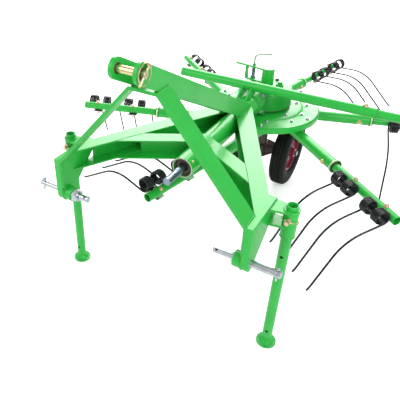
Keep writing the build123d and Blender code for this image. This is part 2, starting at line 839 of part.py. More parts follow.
def tyre():
    """A round-shouldered tyre seated between the rim's lips."""
    half = tyre_w / 2
    seat = rim_w / 2 - rim_lip_t
    tread = half - tyre_shoulder
    outline = [(-seat, tyre_bead_r), (-seat, rim_lip_r), (-half, (rim_lip_r + tyre_r) / 2),
               (-half, tyre_r - tyre_shoulder), (-tread, tyre_r), (tread, tyre_r),
               (half, tyre_r - tyre_shoulder), (half, (rim_lip_r + tyre_r) / 2), (seat, rim_lip_r),
               (seat, tyre_bead_r)]
    return wheel_spun(outline)


# Build every piece, then export with the machine's box centred on the origin

one_tine = double_tine()
bow_body = bow()
pieces = {
    "hitch_bow": bow_body,
    "top_link_pin": link_pin(),
    "driveline_tube": drive_tube(),
    "power_shaft": power_shaft(),
    "gearbox": gearbox(),
    "gearbox_neck": gearbox_neck(),
    "mast": mast(),
    "height_crank": crank(),
    "boom_tube": boom(),
    "boom_saddle": boom_saddle(),
    "boom_inner_tube": boom_inner(),
    "curtain_hanger": curtain_hanger(),
    "curtain_bar": curtain_bar(),
    "curtain": curtain(),
    "rotor_disc": rotor_disc(),
    "rotor_hub": rotor_hub(),
    "rotor_dish": rotor_dish(),
    "centre_column": centre_column(),
    "axle": axle(),
}
for name, side in (("left", -1), ("right", 1)):
    pieces["beam_" + name] = beam(side) - bow_body
    pieces["brace_" + name] = brace(side)
    pieces["cheek_" + name] = cheek(side)
    pieces["lower_pin_" + name] = lower_pin(side)
    pieces["top_link_plate_" + name] = link_plate(side, bow_body)
    pieces["stand_leg_" + name] = stand_leg(side)
    pieces["stand_sleeve_" + name] = stand_sleeve(side)
    pieces["sleeve_pin_" + name] = sleeve_pin(side)
    hub_place = Location((side * wheel_x, axle_y, axle_z))
    pieces["wheel_rim_" + name] = hub_place * rim()
    pieces["tyre_" + name] = hub_place * tyre()
for number in range(arm_count):
    label = str(number + 1)
    pieces["arm_sleeve_" + label] = arm_sleeve(number)
    pieces["tine_arm_" + label] = tine_arm(number)
    pieces["tines_" + label] = tines(number)

for name, piece in pieces.items():
    if isinstance(piece, list):
        pieces[name] = Compound(piece)
boxes = [piece.bounding_box() for piece in pieces.values()]
low_corner = [min(getattr(box.min, letter) for box in boxes) for letter in "XYZ"]
high_corner = [max(getattr(box.max, letter) for box in boxes) for letter in "XYZ"]
centre_x, centre_y = [(low + high) / 2 for low, high in zip(low_corner[:2], high_corner[:2])]
for name, piece in pieces.items():
    export_step(Location((-centre_x, -centre_y, -low_corner[2])) * piece, "parts/" + name + ".step")
print("centre was at", centre_x, centre_y, "from", low_corner, "to", high_corner)
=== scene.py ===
import json
import math

import bmesh
import bpy
import numpy as np
from bpy.props import FloatProperty, FloatVectorProperty, IntProperty, PointerProperty
from mathutils import Matrix, Vector


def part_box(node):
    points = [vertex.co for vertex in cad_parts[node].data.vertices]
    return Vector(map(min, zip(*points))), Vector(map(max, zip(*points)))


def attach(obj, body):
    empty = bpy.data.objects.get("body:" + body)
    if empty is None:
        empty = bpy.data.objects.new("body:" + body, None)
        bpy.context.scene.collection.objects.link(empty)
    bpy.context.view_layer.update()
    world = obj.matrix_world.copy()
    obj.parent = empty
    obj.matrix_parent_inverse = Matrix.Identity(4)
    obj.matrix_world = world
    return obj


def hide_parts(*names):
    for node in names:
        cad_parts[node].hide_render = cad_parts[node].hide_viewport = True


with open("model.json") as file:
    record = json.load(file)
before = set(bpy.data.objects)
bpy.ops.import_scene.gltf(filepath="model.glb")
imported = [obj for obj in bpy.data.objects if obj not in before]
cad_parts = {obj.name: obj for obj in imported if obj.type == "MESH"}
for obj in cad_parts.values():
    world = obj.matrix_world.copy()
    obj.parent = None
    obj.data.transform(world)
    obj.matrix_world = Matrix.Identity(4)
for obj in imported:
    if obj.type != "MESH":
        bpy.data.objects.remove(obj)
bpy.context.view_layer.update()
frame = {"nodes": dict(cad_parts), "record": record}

bl_info = {
    "name": "Rotary hay rake",
    "version": (1, 0, 0),
    "blender": (4, 5, 0),
    "location": "3D View > Sidebar > Rake",
    "description": "Dresses a mounted rotary hay rake: spring tines, tyres, welds, bolts, paint and studio",
    "category": "Add Mesh",
}

# The rotor axis is where the machine's own sizes start: +X towards the curtain, -Y to the tractor
hub_low, hub_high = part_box("rotor_hub")
ROTOR = np.array([(hub_low.x + hub_high.x) / 2, (hub_low.y + hub_high.y) / 2, 0.0])
ARM_COUNT = 6
SIDES = {"left": -1, "right": 1}
X, Y, Z = np.eye(3)

# Corners in the section of every wire, tine and weld bead
WIRE_SIDES = 8


# Vector arithmetic

def at(x, y, z):
    """A point given from the rotor axis and the ground."""
    return ROTOR + np.array([x, y, z], float)


def corners(node):
    """A node's lowest and highest corners at rest."""
    low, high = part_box(node)
    return np.array(low), np.array(high)


def middle(node):
    """The middle of a node's box at rest."""
    low, high = corners(node)
    return (low + high) / 2


def moved(point, **places):
    """A point with its x, y or z put elsewhere."""
    return np.array([places.get(axis, value) for axis, value in zip("xyz", point)], float)


def unit(vectors):
    """Vectors divided by their own length."""
    vectors = np.asarray(vectors, float)
    return vectors / np.linalg.norm(vectors, axis=-1, keepdims=True)


def frame_of(axis):
    """Two unit vectors across an axis, and the axis: u = helper x w, v = w x u."""
    w = unit(axis)
    helper = X if abs(w[2]) > 0.9 else Z
    u = unit(np.cross(helper, w))
    return u, np.cross(w, u), w


# Surfaces: each gives vertices and four-cornered faces as arrays

def surface(points, wrap_rows=False, wrap_columns=False):
    """A grid of points where each cell between neighbours in rows and columns becomes a face."""
    rows, columns = points.shape[:2]
    r, c = np.meshgrid(np.arange(rows if wrap_rows else rows - 1),
                       np.arange(columns if wrap_columns else columns - 1), indexing="ij")
    here, ahead = r * columns, (r + 1) % rows * columns
    beside = (c + 1) % columns
    faces = np.stack([here + c, here + beside, ahead + beside, ahead + c], -1)
    return points.reshape(-1, 3), faces.reshape(-1, 4)


def joined(parts):
    """Several surfaces as one: each one's face indices are raised by the vertices before it."""
    starts = np.cumsum([0] + [len(vertices) for vertices, faces in parts])
    vertices = np.concatenate([vertices for vertices, faces in parts])
    faces = np.concatenate([faces + start for (_, faces), start in zip(parts, starts)])
    return vertices, faces


def turned(profile, sides, origin=(0, 0, 0), axis=(0, 0, 1)):
    """A profile carried round an axis: origin + height * w + radius * (cos t * u + sin t * v)."""
    u, v, w = frame_of(axis)
    t = np.linspace(0, 2 * np.pi, sides, endpoint=False)[:, None]
    spokes = np.cos(t) * u + np.sin(t) * v
    radius, height = np.asarray(profile, float).T
    points = np.asarray(origin) + height[None, :, None] * w + radius[None, :, None] * spokes[:, None, :]
    return surface(points, wrap_rows=True)


def tube(path, normals, radius, closed=False):
    """A round section carried along a path: path + radius * (cos t * n + sin t * b), where n is
    the given normal made square to the path and b = tangent x n. Open ends close on their centre."""
    path = np.asarray(path, float)
    ahead = np.roll(path, -1, 0) - np.roll(path, 1, 0) if closed else np.gradient(path, axis=0)
    tangent = unit(ahead)
    normals = np.broadcast_to(np.asarray(normals, float), path.shape)
    n = unit(normals - (normals * tangent).sum(-1, keepdims=True) * tangent)
    b = np.cross(tangent, n)
    t = np.linspace(0, 2 * np.pi, WIRE_SIDES, endpoint=False)[None, :, None]
    radius = np.broadcast_to(np.asarray(radius, float), len(path))[:, None, None]
    points = path[:, None] + radius * (np.cos(t) * n[:, None] + np.sin(t) * b[:, None])
    if not closed:
        first, last = (np.repeat(end[:, None], WIRE_SIDES, 1) for end in (path[:1], path[-1:]))
        points = np.concatenate([first, points, last])
    return surface(points, wrap_rows=closed, wrap_columns=True)


def prism(outline, along):
    """A closed outline moved along a vector, with both ends closed on the outline's middle."""
    outline = np.asarray(outline, float)
    centre = np.repeat(outline.mean(0)[None], len(outline), 0)
    along = np.asarray(along, float)
    return surface(np.stack([centre, outline, outline + along, centre + along]), wrap_columns=True)


def stamped(part, origins, axes, spins=0.0):
    """Copies of a part: each turns the part's +Z to its own axis, spun about it, and moves it. One
    axis or spin may serve all."""
    vertices, faces = part
    copies = []
    axes, spins = np.broadcast_to(axes, (len(origins), 3)), np.broadcast_to(spins, len(origins))
    for origin, axis, spin in zip(origins, axes, spins):
        u, v, w = frame_of(axis)
        turn = np.stack([np.cos(spin) * u + np.sin(spin) * v, np.cos(spin) * v - np.sin(spin) * u, w])
        copies.append((vertices @ turn + np.asarray(origin, float), faces))
    return joined(copies)


def stretched(points, step):
    """Points along a chain of straight runs, evenly spaced by length."""
    points = np.asarray(points, float)
    length = np.concatenate([[0], np.cumsum(np.linalg.norm(np.diff(points, axis=0), axis=1))])
    count = max(2, int(round(length[-1] / step)) + 1)
    wanted = np.linspace(0, length[-1], count)
    return np.stack([np.interp(wanted, length, points[:, k]) for k in range(3)], -1)


def arc(centre, u, v, radius, turn, count):
    """Points of centre + radius * (cos t * u + sin t * v), over a turn in degrees that starts at u."""
    t = np.radians(np.linspace(0, turn, count))[:, None]
    return np.asarray(centre) + radius * (np.cos(t) * np.asarray(u) + np.sin(t) * np.asarray(v))


def ring(centre, axis, radius, wire, count):
    """A closed wire ring: a circle across the axis, carried as a tube."""
    u, v, w = frame_of(axis)
    circle = arc(centre, u, v, radius, 360, count + 1)[:-1]
    return tube(circle, w, wire, closed=True)


def bolt(radius, height, seat, stud=0.0):
    """A six-sided head with a chamfered top on a round washer, standing on +Z, with a stud end."""
    chamfer, rim = height * 0.82, radius * 1.28
    head = turned([(0, seat), (radius, seat), (radius, chamfer), (radius * 0.86, height), (0, height)], 6)
    parts = [head, turned([(0, 0), (rim, 0), (rim, seat), (0, seat)], 20)]
    if stud:
        r = radius * 0.55
        parts.append(turned([(0, height), (r, height), (r, height + stud * 0.8), (r * 0.75, height + stud),
                             (0, height + stud)], 14))
    return joined(parts)


def weld(points, radius, up, seed):
    """A fillet of weld along straight runs: a tube whose radius swells once for each ripple, as
    r * (0.8 + 0.2 * |sin|), with a little seeded unevenness."""
    ripple, steps = radius * 0.9, 3
    path = stretched(points, ripple / steps)
    rng = np.random.default_rng(seed)
    run = np.arange(len(path)) / steps
    knots = np.arange(int(run[-1]) + 2)
    uneven = np.interp(run, knots, rng.uniform(-0.12, 0.12, len(knots)))
    swell = 0.8 + 0.2 * np.abs(np.sin(np.pi * run)) + uneven
    return tube(path, up, radius * swell)


def washer(inner, outer, thick):
    """A flat ring that stands on +Z."""
    return turned([(inner, 0), (outer, 0), (outer, thick), (inner, thick), (inner, 0)], 28)


def collar(inner, outer, thick):
    """A six-sided ring that stands on +Z: an outer hexagon and an inner one, closed at both ends."""
    return turned([(inner, 0), (outer, 0), (outer, thick * 0.8), (outer * 0.92, thick), (inner, thick),
                   (inner, 0)], 6)


def lynch_pin(centre, shank, across, length, radius, loop, wire):
    """A locking pin through a hitch pin: a shank with a pointed tip and a flanged head, and a
    spring ring round the hitch pin, square to the direction that is given as across."""
    tip = np.asarray(centre) - np.asarray(shank) * length * 0.55
    flange = radius * 1.7
    profile = [(0, 0), (radius * 0.5, 0), (radius, radius), (radius, length * 0.82), (flange, length * 0.84),
               (flange, length * 0.93), (radius * 1.1, length), (0, length)]
    return joined([turned(profile, 16, tip, shank), ring(centre, across, loop, wire, 40)])


def make_piece(name, part, kind, body="frame", sharp=35.0):
    """Puts a surface into a mesh, closes its seams and poles, points its faces outwards, and gives
    it a finish and a body to ride on. Edges that turn more than sharp degrees stay sharp."""
    vertices, faces = part
    mesh = bpy.data.meshes.new(name)
    mesh.vertices.add(len(vertices))
    mesh.vertices.foreach_set("co", vertices.astype(np.float32).ravel())
    mesh.loops.add(faces.size)
    mesh.loops.foreach_set("vertex_index", faces.astype(np.int32).ravel())
    mesh.polygons.add(len(faces))
    mesh.polygons.foreach_set("loop_start", np.arange(0, faces.size, 4, dtype=np.int32))
    mesh.update(calc_edges=True)
    sewn = bmesh.new()
    sewn.from_mesh(mesh)
    bmesh.ops.remove_doubles(sewn, verts=sewn.verts, dist=2e-6)
    bmesh.ops.dissolve_degenerate(sewn, edges=sewn.edges, dist=1e-7)
    bmesh.ops.recalc_face_normals(sewn, faces=sewn.faces)
    sewn.to_mesh(mesh)
    sewn.free()
    mesh.shade_smooth()
    mesh.set_sharp_from_angle(angle=math.radians(sharp))
    mesh.materials.append(finish(kind))
    piece = bpy.data.objects.new(name, mesh)
    bpy.context.scene.collection.objects.link(piece)
    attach(piece, body)
    return piece


# Shader nodes

def put(tree, kind, inputs=None, **settings):
    """Adds a node, sets its properties, and gives its inputs a value or a link."""
    node = tree.nodes.new(kind)
    for key, value in settings.items():
        setattr(node, key, value)
    for key, value in (inputs or {}).items():
        if isinstance(value, bpy.types.NodeSocket):
            tree.links.new(value, node.inputs[key])
        else:
            node.inputs[key].default_value = value
    return node


def ramp(tree, factor, low, high):
    """A value that rises from 0 at low to 1 at high."""
    levels = {"Value": factor, "From Min": low, "From Max": high}
    return put(tree, "ShaderNodeMapRange", levels).outputs["Result"]


def spread(tree, value, low, high):
    """A value from 0 to 1, carried onto the range from low to high."""
    levels = {"Value": value, "To Min": low, "To Max": high}
    return put(tree, "ShaderNodeMapRange", levels).outputs["Result"]


def product(tree, first, second):
    """Two values multiplied."""
    return put(tree, "ShaderNodeMath", {0: first, 1: second}, operation="MULTIPLY").outputs["Value"]


def blended(tree, factor, first, second):
    """Two colours mixed by a factor. The mix node's colour sockets are numbers 6 and 7, its result 2."""
    return put(tree, "ShaderNodeMix", {0: factor, 6: first, 7: second}, data_type="RGBA").outputs[2]


def new_group(name, inputs, outputs):
    """An empty shader group with its named sockets, and its two end nodes."""
    group = bpy.data.node_groups.new(name, "ShaderNodeTree")
    for label, kind, default in inputs:
        socket = group.interface.new_socket(label, in_out="INPUT", socket_type="NodeSocket" + kind)
        socket.default_value = default
    for label, kind in outputs:
        group.interface.new_socket(label, in_out="OUTPUT", socket_type="NodeSocket" + kind)
    return group, group.nodes.new("NodeGroupInput"), group.nodes.new("NodeGroupOutput")


def edge_group():
    """Where a surface turns sharply: one minus the dot of the true normal and the normal of a
    rounded edge. Also gives that rounded normal."""
    group, start, end = new_group("edge_rounding", [("Radius", "Float", 0.002)],
                                  [("Edge", "Float"), ("Normal", "Vector")])
    soft = put(group, "ShaderNodeBevel", {"Radius": start.outputs["Radius"]}, samples=4)
    true = put(group, "ShaderNodeNewGeometry")
    dot = put(group, "ShaderNodeVectorMath", {0: soft.outputs["Normal"], 1: true.outputs["Normal"]},
              operation="DOT_PRODUCT")
    mask = ramp(group, dot.outputs["Value"], 0.995, 0.85)
    group.links.new(mask, end.inputs["Edge"])
    group.links.new(soft.outputs["Normal"], end.inputs["Normal"])
    return group


def mottle_group():
    """Cloudy tone and fine grain: two noises on Object coordinates, and a bump from the fine one."""
    group, start, end = new_group("mottle", [("Cloud size", "Float", 6.0), ("Grain size", "Float", 400.0),
                                             ("Bump", "Float", 0.2), ("Normal", "Vector", (0, 0, 0))],
                                  [("Cloud", "Float"), ("Grain", "Float"), ("Normal", "Vector")])
    place = put(group, "ShaderNodeTexCoord").outputs["Object"]
    cloud, grain = (put(group, "ShaderNodeTexNoise", {"Vector": place, "Scale": start.outputs[size],
                                                      "Detail": detail})
                    for size, detail in (("Cloud size", 4.0), ("Grain size", 3.0)))
    bump = put(group, "ShaderNodeBump", {"Height": grain.outputs["Fac"], "Strength": start.outputs["Bump"],
                                         "Distance": 0.0008, "Normal": start.outputs["Normal"]})
    group.links.new(ramp(group, cloud.outputs["Fac"], 0.3, 0.7), end.inputs["Cloud"])
    group.links.new(ramp(group, grain.outputs["Fac"], 0.3, 0.7), end.inputs["Grain"])
    group.links.new(bump.outputs["Normal"], end.inputs["Normal"])
    return group


def scratch_group():
    """Fine lines: a noise stretched along one axis of the Object coordinates."""
    group, start, end = new_group("fine_lines", [("Along", "Vector", (1.0, 1.0, 1.0)),
                                                 ("Scale", "Float", 300.0)], [("Lines", "Float")])
    place = put(group, "ShaderNodeTexCoord").outputs["Object"]
    drawn = put(group, "ShaderNodeVectorMath", {0: place, 1: start.outputs["Along"]}, operation="MULTIPLY")
    lines = put(group, "ShaderNodeTexNoise", {"Vector": drawn.outputs["Vector"],
                                              "Scale": start.outputs["Scale"], "Detail": 2.0})
    group.links.new(ramp(group, lines.outputs["Fac"], 0.35, 0.65), end.inputs["Lines"])
    return group


GROUPS = {}


def use_group(tree, name, inputs=None):
    """Places a shared group in a material."""
    if not GROUPS:
        GROUPS.update(edge=edge_group(), mottle=mottle_group(), lines=scratch_group())
    return put(tree, "ShaderNodeGroup", inputs, node_tree=GROUPS[name]).outputs


def new_material(name):
    """An empty material with a Principled shader."""
    material = bpy.data.materials.new(name)
    material.use_nodes = True
    tree = material.node_tree
    tree.nodes.clear()
    shader = put(tree, "ShaderNodeBsdfPrincipled")
    put(tree, "ShaderNodeOutputMaterial", {"Surface": shader.outputs["BSDF"]})
    return material, tree, shader


def rgba(colour, share=1.0):
    """A colour with full cover, darkened or lightened by a share."""
    return (*(c * share for c in colour), 1.0)


def dress(tree, shader, tone, roughness, normal, levels):
    """Gives a shader its changing colour, roughness and normal, and its plain levels."""
    for label, value in (("Base Color", tone), ("Roughness", roughness), ("Normal", normal)):
        tree.links.new(value, shader.inputs[label])
    for label, value in levels.items():
        shader.inputs[label].default_value = value


def paint(name, colour, worn, rough=0.30, grain=500.0, bump=0.10, coat=0.16):
    """Gloss machine paint: cloudy tone, orange-peel bump, lighter worn edges and rounded corners."""
    material, tree, shader = new_material(name)
    edge = use_group(tree, "edge", {"Radius": 0.0025})
    skin = use_group(tree, "mottle", {"Cloud size": 5.0, "Grain size": grain, "Bump": bump,
                                      "Normal": edge["Normal"]})
    tone = blended(tree, skin["Cloud"], rgba(colour, 0.84), rgba(colour))
    tone = blended(tree, product(tree, edge["Edge"], skin["Grain"]), tone, rgba(worn))
    dress(tree, shader, tone, spread(tree, skin["Grain"], rough * 0.85, rough * 1.3), skin["Normal"],
          {"Coat Weight": coat, "Coat Roughness": 0.10, "Specular IOR Level": 0.34})
    return material


def lacquer(name, colour):
    """Black spring lacquer: a deep gloss with a clouded tone and a slight unevenness of the skin."""
    material, tree, shader = new_material(name)
    skin = use_group(tree, "mottle", {"Cloud size": 18.0, "Grain size": 700.0, "Bump": 0.03})
    tone = blended(tree, skin["Cloud"], rgba(colour, 0.6), rgba(colour))
    dress(tree, shader, tone, spread(tree, skin["Grain"], 0.14, 0.24), skin["Normal"],
          {"Specular IOR Level": 0.35, "Coat Weight": 0.2, "Coat Roughness": 0.06})
    return material


def plated(name, colour, tint, rough, along=(1.0, 1.0, 1.0)):
    """Plated or bare steel: metal with clouded tint, fine lines in its roughness and soft edges."""
    material, tree, shader = new_material(name)
    edge = use_group(tree, "edge", {"Radius": 0.001})
    skin = use_group(tree, "mottle", {"Cloud size": 40.0, "Grain size": 900.0, "Bump": 0.08,
                                      "Normal": edge["Normal"]})
    lines = use_group(tree, "lines", {"Along": along})
    tone = blended(tree, skin["Cloud"], rgba(colour), rgba(tint))
    dress(tree, shader, tone, spread(tree, lines["Lines"], rough * 0.7, rough * 1.5), skin["Normal"],
          {"Metallic": 1.0})
    return material


def rubber(name, colour, dusty):
    """Tyre rubber: matt, with fine grain and a little pale dust in its clouds."""
    material, tree, shader = new_material(name)
    edge = use_group(tree, "edge", {"Radius": 0.0015})
    skin = use_group(tree, "mottle", {"Cloud size": 12.0, "Grain size": 700.0, "Bump": 0.25,
                                      "Normal": edge["Normal"]})
    tone = blended(tree, product(tree, skin["Cloud"], skin["Grain"]), rgba(colour), rgba(dusty))
    dress(tree, shader, tone, spread(tree, skin["Cloud"], 0.55, 0.75), skin["Normal"],
          {"Specular IOR Level": 0.16})
    return material


def cloth(name, colour, shade):
    """Coated cloth: a fine weave of two waves across each other, on Object coordinates."""
    material, tree, shader = new_material(name)
    place = put(tree, "ShaderNodeTexCoord").outputs["Object"]
    warp, weft = (put(tree, "ShaderNodeTexWave", {"Vector": place, "Scale": 90.0}, bands_direction=way)
                  for way in "YZ")
    weave = product(tree, warp.outputs["Fac"], weft.outputs["Fac"])
    skin = use_group(tree, "mottle", {"Cloud size": 7.0, "Grain size": 300.0, "Bump": 0.1})
    tone = blended(tree, skin["Cloud"], rgba(shade), rgba(colour))
    tone = blended(tree, weave, tone, rgba(colour, 1.4))
    bump = put(tree, "ShaderNodeBump", {"Height": weave, "Strength": 0.35, "Distance": 0.0006,
                                        "Normal": skin["Normal"]})
    dress(tree, shader, tone, spread(tree, weave, 0.42, 0.6), bump.outputs["Normal"], {"Sheen Weight": 0.2})
    return material


FINISHES = {}


def finish(name):
    """The named finish, made once from the colours in the sidebar."""
    if not FINISHES:
        colours = bpy.context.scene.rake_colours
        green, pale, red = (tuple(c) for c in (colours.machine_green, colours.worn_green, colours.rim_red))
        cast_green, weld_green = (tuple(c * share for c in green) for share in (0.85, 0.95))
        FINISHES.update(
            green=paint("machine_green_paint", green, pale),
            casting=paint("cast_green_paint", cast_green, pale, rough=0.34, grain=180.0, bump=0.35),
            weld=paint("weld_green_paint", weld_green, pale, rough=0.22, grain=260.0, bump=0.3),
            red=paint("rim_red_paint", red, red),
            black=lacquer("spring_black_lacquer", tuple(colours.spring_black)),
            # The dark finish is the column's greased steel. It is also the painted shade of the drum's foot
            # ring and of the hitch pins' holes.
            dark=paint("greased_steel_and_painted_shade", tuple(colours.column_dark), (0.16, 0.13, 0.10), rough=0.36,
                       coat=0.2),
            clamp=plated("clamp_grey_zinc", (0.72, 0.73, 0.70), (0.84, 0.84, 0.80), 0.42),
            zinc=plated("bright_zinc", (0.58, 0.60, 0.64), (0.44, 0.48, 0.53), 0.24, (1.0, 12.0, 12.0)),
            yellow=plated("yellow_zinc", (0.66, 0.60, 0.26), (0.70, 0.56, 0.40), 0.26),
            crank=plated("grey_green_rod", (0.26, 0.36, 0.24), (0.34, 0.42, 0.36), 0.42),
            pink=plated("red_gold_zinc", (0.80, 0.50, 0.38), (0.70, 0.60, 0.42), 0.30),
            cream=plated("cream_zinc", (0.90, 0.86, 0.66), (0.84, 0.88, 0.72), 0.36),
            steel=plated("splined_steel", (0.20, 0.25, 0.31), (0.32, 0.38, 0.44), 0.30, (12.0, 1.0, 12.0)),
            rubber=rubber("tyre_rubber", tuple(colours.tyre_black), (0.016, 0.016, 0.015)),
            cloth=cloth("coated_green_cloth", (0.02, 0.20, 0.06), (0.012, 0.13, 0.04)),
            # The lip ring's pale colour is a painted highlight on the edge of the driveline tube's mouth.
            seal=rubber("pale_lip_painted_highlight", (0.50, 0.52, 0.40), (0.62, 0.62, 0.52)),
        )
    return FINISHES[name]


# The finish of each slot's solids, and of single solids that differ from their slot's
NODE_FINISH = {"paint_green": "green", "tyre": "rubber", "rim_red": "red", "spring_black": "black",
               "bare_steel": "steel", "zinc": "zinc", "zinc_yellow": "yellow", "dark_steel": "dark",
               "curtain_cloth": "cloth"}
OWN_FINISH = {"gearbox": "casting", "gearbox_neck": "casting", "rotor_hub": "casting",
              "height_crank": "crank"}

# Edges of the solids stay sharp where they turn more than this, in degrees
SHARP_TURN = 28


def smoothing_group():
    """A mesh-tidying group: joins touching vertices and shades smoothly where edges turn little."""
    group = bpy.data.node_groups.new("smooth_rounds", "GeometryNodeTree")
    group.interface.new_socket("Geometry", in_out="INPUT", socket_type="NodeSocketGeometry")
    group.interface.new_socket("Geometry", in_out="OUTPUT", socket_type="NodeSocketGeometry")
    start, end = group.nodes.new("NodeGroupInput"), group.nodes.new("NodeGroupOutput")
    merge = put(group, "GeometryNodeMergeByDistance", {"Geometry": start.outputs["Geometry"],
                                                       "Distance": 1e-6})
    whole = put(group, "GeometryNodeSetShadeSmooth", {"Geometry": merge.outputs["Geometry"]}, domain="FACE")
    angle = put(group, "GeometryNodeInputMeshEdgeAngle")
    turns = put(group, "FunctionNodeCompare", {"A": angle.outputs["Unsigned Angle"],
                                               "B": math.radians(SHARP_TURN)}, operation="GREATER_THAN")
    sharp = put(group, "GeometryNodeSetShadeSmooth", {"Geometry": whole.outputs["Geometry"],
                "Selection": turns.outputs["Result"], "Shade Smooth": False}, domain="EDGE")
    group.links.new(sharp.outputs["Geometry"], end.inputs["Geometry"])
    return group


class RakeColours(bpy.types.PropertyGroup):
    """Colours of the rake's finishes."""

    machine_green: FloatVectorProperty(name="Machine green", description="Paint of frame, arms and stands",
                                       subtype="COLOR", default=(0.020, 0.47, 0.052), min=0, max=1)
    worn_green: FloatVectorProperty(name="Worn green", description="Paint where edges are rubbed thin",
                                    subtype="COLOR", default=(0.16, 0.62, 0.22), min=0, max=1)
    rim_red: FloatVectorProperty(name="Rim red", description="Paint of the wheel rims",
                                 subtype="COLOR", default=(0.27, 0.028, 0.050), min=0, max=1)
    spring_black: FloatVectorProperty(name="Spring black", description="Lacquer of the spring tines",
                                      subtype="COLOR", default=(0.004, 0.005, 0.010), min=0, max=1)
    # This colour also paints the shadow ring at the drum's foot and the shade in the hitch pins' holes.
    column_dark: FloatVectorProperty(name="Column brown", description="Greased steel of the centre column",
                                     subtype="COLOR", default=(0.045, 0.028, 0.020), min=0, max=1)
    tyre_black: FloatVectorProperty(name="Tyre black", description="Rubber of the tyres",
                                    subtype="COLOR", default=(0.0055, 0.0065, 0.006), min=0, max=1)


class RakeTines(bpy.types.PropertyGroup):
    """Sizes of the spring tines and of the arms that carry them."""

    first_arm: FloatProperty(name="First arm", default=-41.8,
                             description="Turn of the first arm about the rotor, in degrees")
    arm_offset: FloatProperty(name="Arm offset", description="How far each arm's axis passes the rotor axis",
                              default=0.084, unit="LENGTH")
    arm_radius: FloatProperty(name="Arm radius", description="Radius of the arm tube",
                              default=0.020, unit="LENGTH")
    inner_tine: FloatProperty(name="Inner tine", description="Distance of the inner tine along the arm",
                              default=0.712, unit="LENGTH")
    outer_tine: FloatProperty(name="Outer tine", description="Distance of the outer tine along the arm",
                              default=0.918, unit="LENGTH")
    wire: FloatProperty(name="Wire radius", description="Radius of the spring wire",
                        default=0.0047, unit="LENGTH")
    coil: FloatProperty(name="Coil radius", description="Radius of the coil's centre line",
                        default=0.0285, unit="LENGTH")
    coil_out: FloatProperty(name="Coil reach", description="Distance from arm axis to coil axis",
                            default=0.0534, unit="LENGTH")
    coil_pitch: FloatProperty(name="Coil pitch", description="Distance between a tine's two coils",
                              default=0.077, unit="LENGTH")
    turns: IntProperty(name="Turns", description="Whole turns of each coil", default=4, min=1)
    lift: FloatProperty(name="Leg start", description="Slope of the leg where it leaves the coil, in degrees",
                        default=-23.7)
    leg_first: FloatProperty(name="First run", description="Straight run off the coil",
                             default=0.085, unit="LENGTH")
    bend_radius: FloatProperty(name="Bend radius", description="Radius of the leg's long bend",
                               default=0.199, unit="LENGTH")
    bend: FloatProperty(name="Bend", description="Turn of the leg's long bend, in degrees", default=45.5)
    leg_last: FloatProperty(name="Last run", description="Straight run before the tip",
                            default=0.158, unit="LENGTH")
    kick_radius: FloatProperty(name="Kick radius", description="Radius of the kick at the tip",
                               default=0.090, unit="LENGTH")
    kick: FloatProperty(name="Kick", description="Turn of the kick at the tip, in degrees", default=18.0)


# How far the cam rolls each arm in turn, in degrees
ARM_ROLLS = (-6.1, 1.3, -28.3, 10.4, -3.5, -36.7)

# The play between the spring wire and its arm, and the thickness of the clamp plate under it
WIRE_PLAY = 0.0004
PLATE_THICK = 0.005


def arm_frame(number):
    """An arm's own directions: outwards along it, to its trailing side, and its foot on the axis."""
    angle = math.radians(bpy.context.scene.rake_tines.first_arm + number * 360 / ARM_COUNT)
    along = np.array([math.cos(angle), math.sin(angle), 0])
    trail = np.array([math.sin(angle), -math.cos(angle), 0])
    low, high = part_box("tine_arm_%d" % (number + 1))
    foot = ROTOR + Z * (low.z + high.z) / 2 - trail * bpy.context.scene.rake_tines.arm_offset
    return along, trail, foot


def tine_frame(number):
    """The rolled directions of an arm's tines: out to the coils and up through the clamp bolt."""
    along, trail, foot = arm_frame(number)
    roll = math.radians(ARM_ROLLS[number])
    out = trail * math.cos(roll) - Z * math.sin(roll)
    up = trail * math.sin(roll) + Z * math.cos(roll)
    return along, out, up, foot


def run_and_bend(start, slope, length, radius, turn, counts):
    """A straight run from a point at a slope, then a bend. A turn over 0 bends down, under 0 up."""
    ahead = np.array([math.cos(math.radians(slope)), math.sin(math.radians(slope)), 0])
    across = np.array([ahead[1], -ahead[0], 0]) * math.copysign(1, turn)
    run = start + ahead * np.linspace(0, length, counts[0])[1:, None]
    bend = arc(run[-1] + across * radius, -across, ahead, radius, abs(turn), counts[1])[1:]
    return np.concatenate([run, bend])


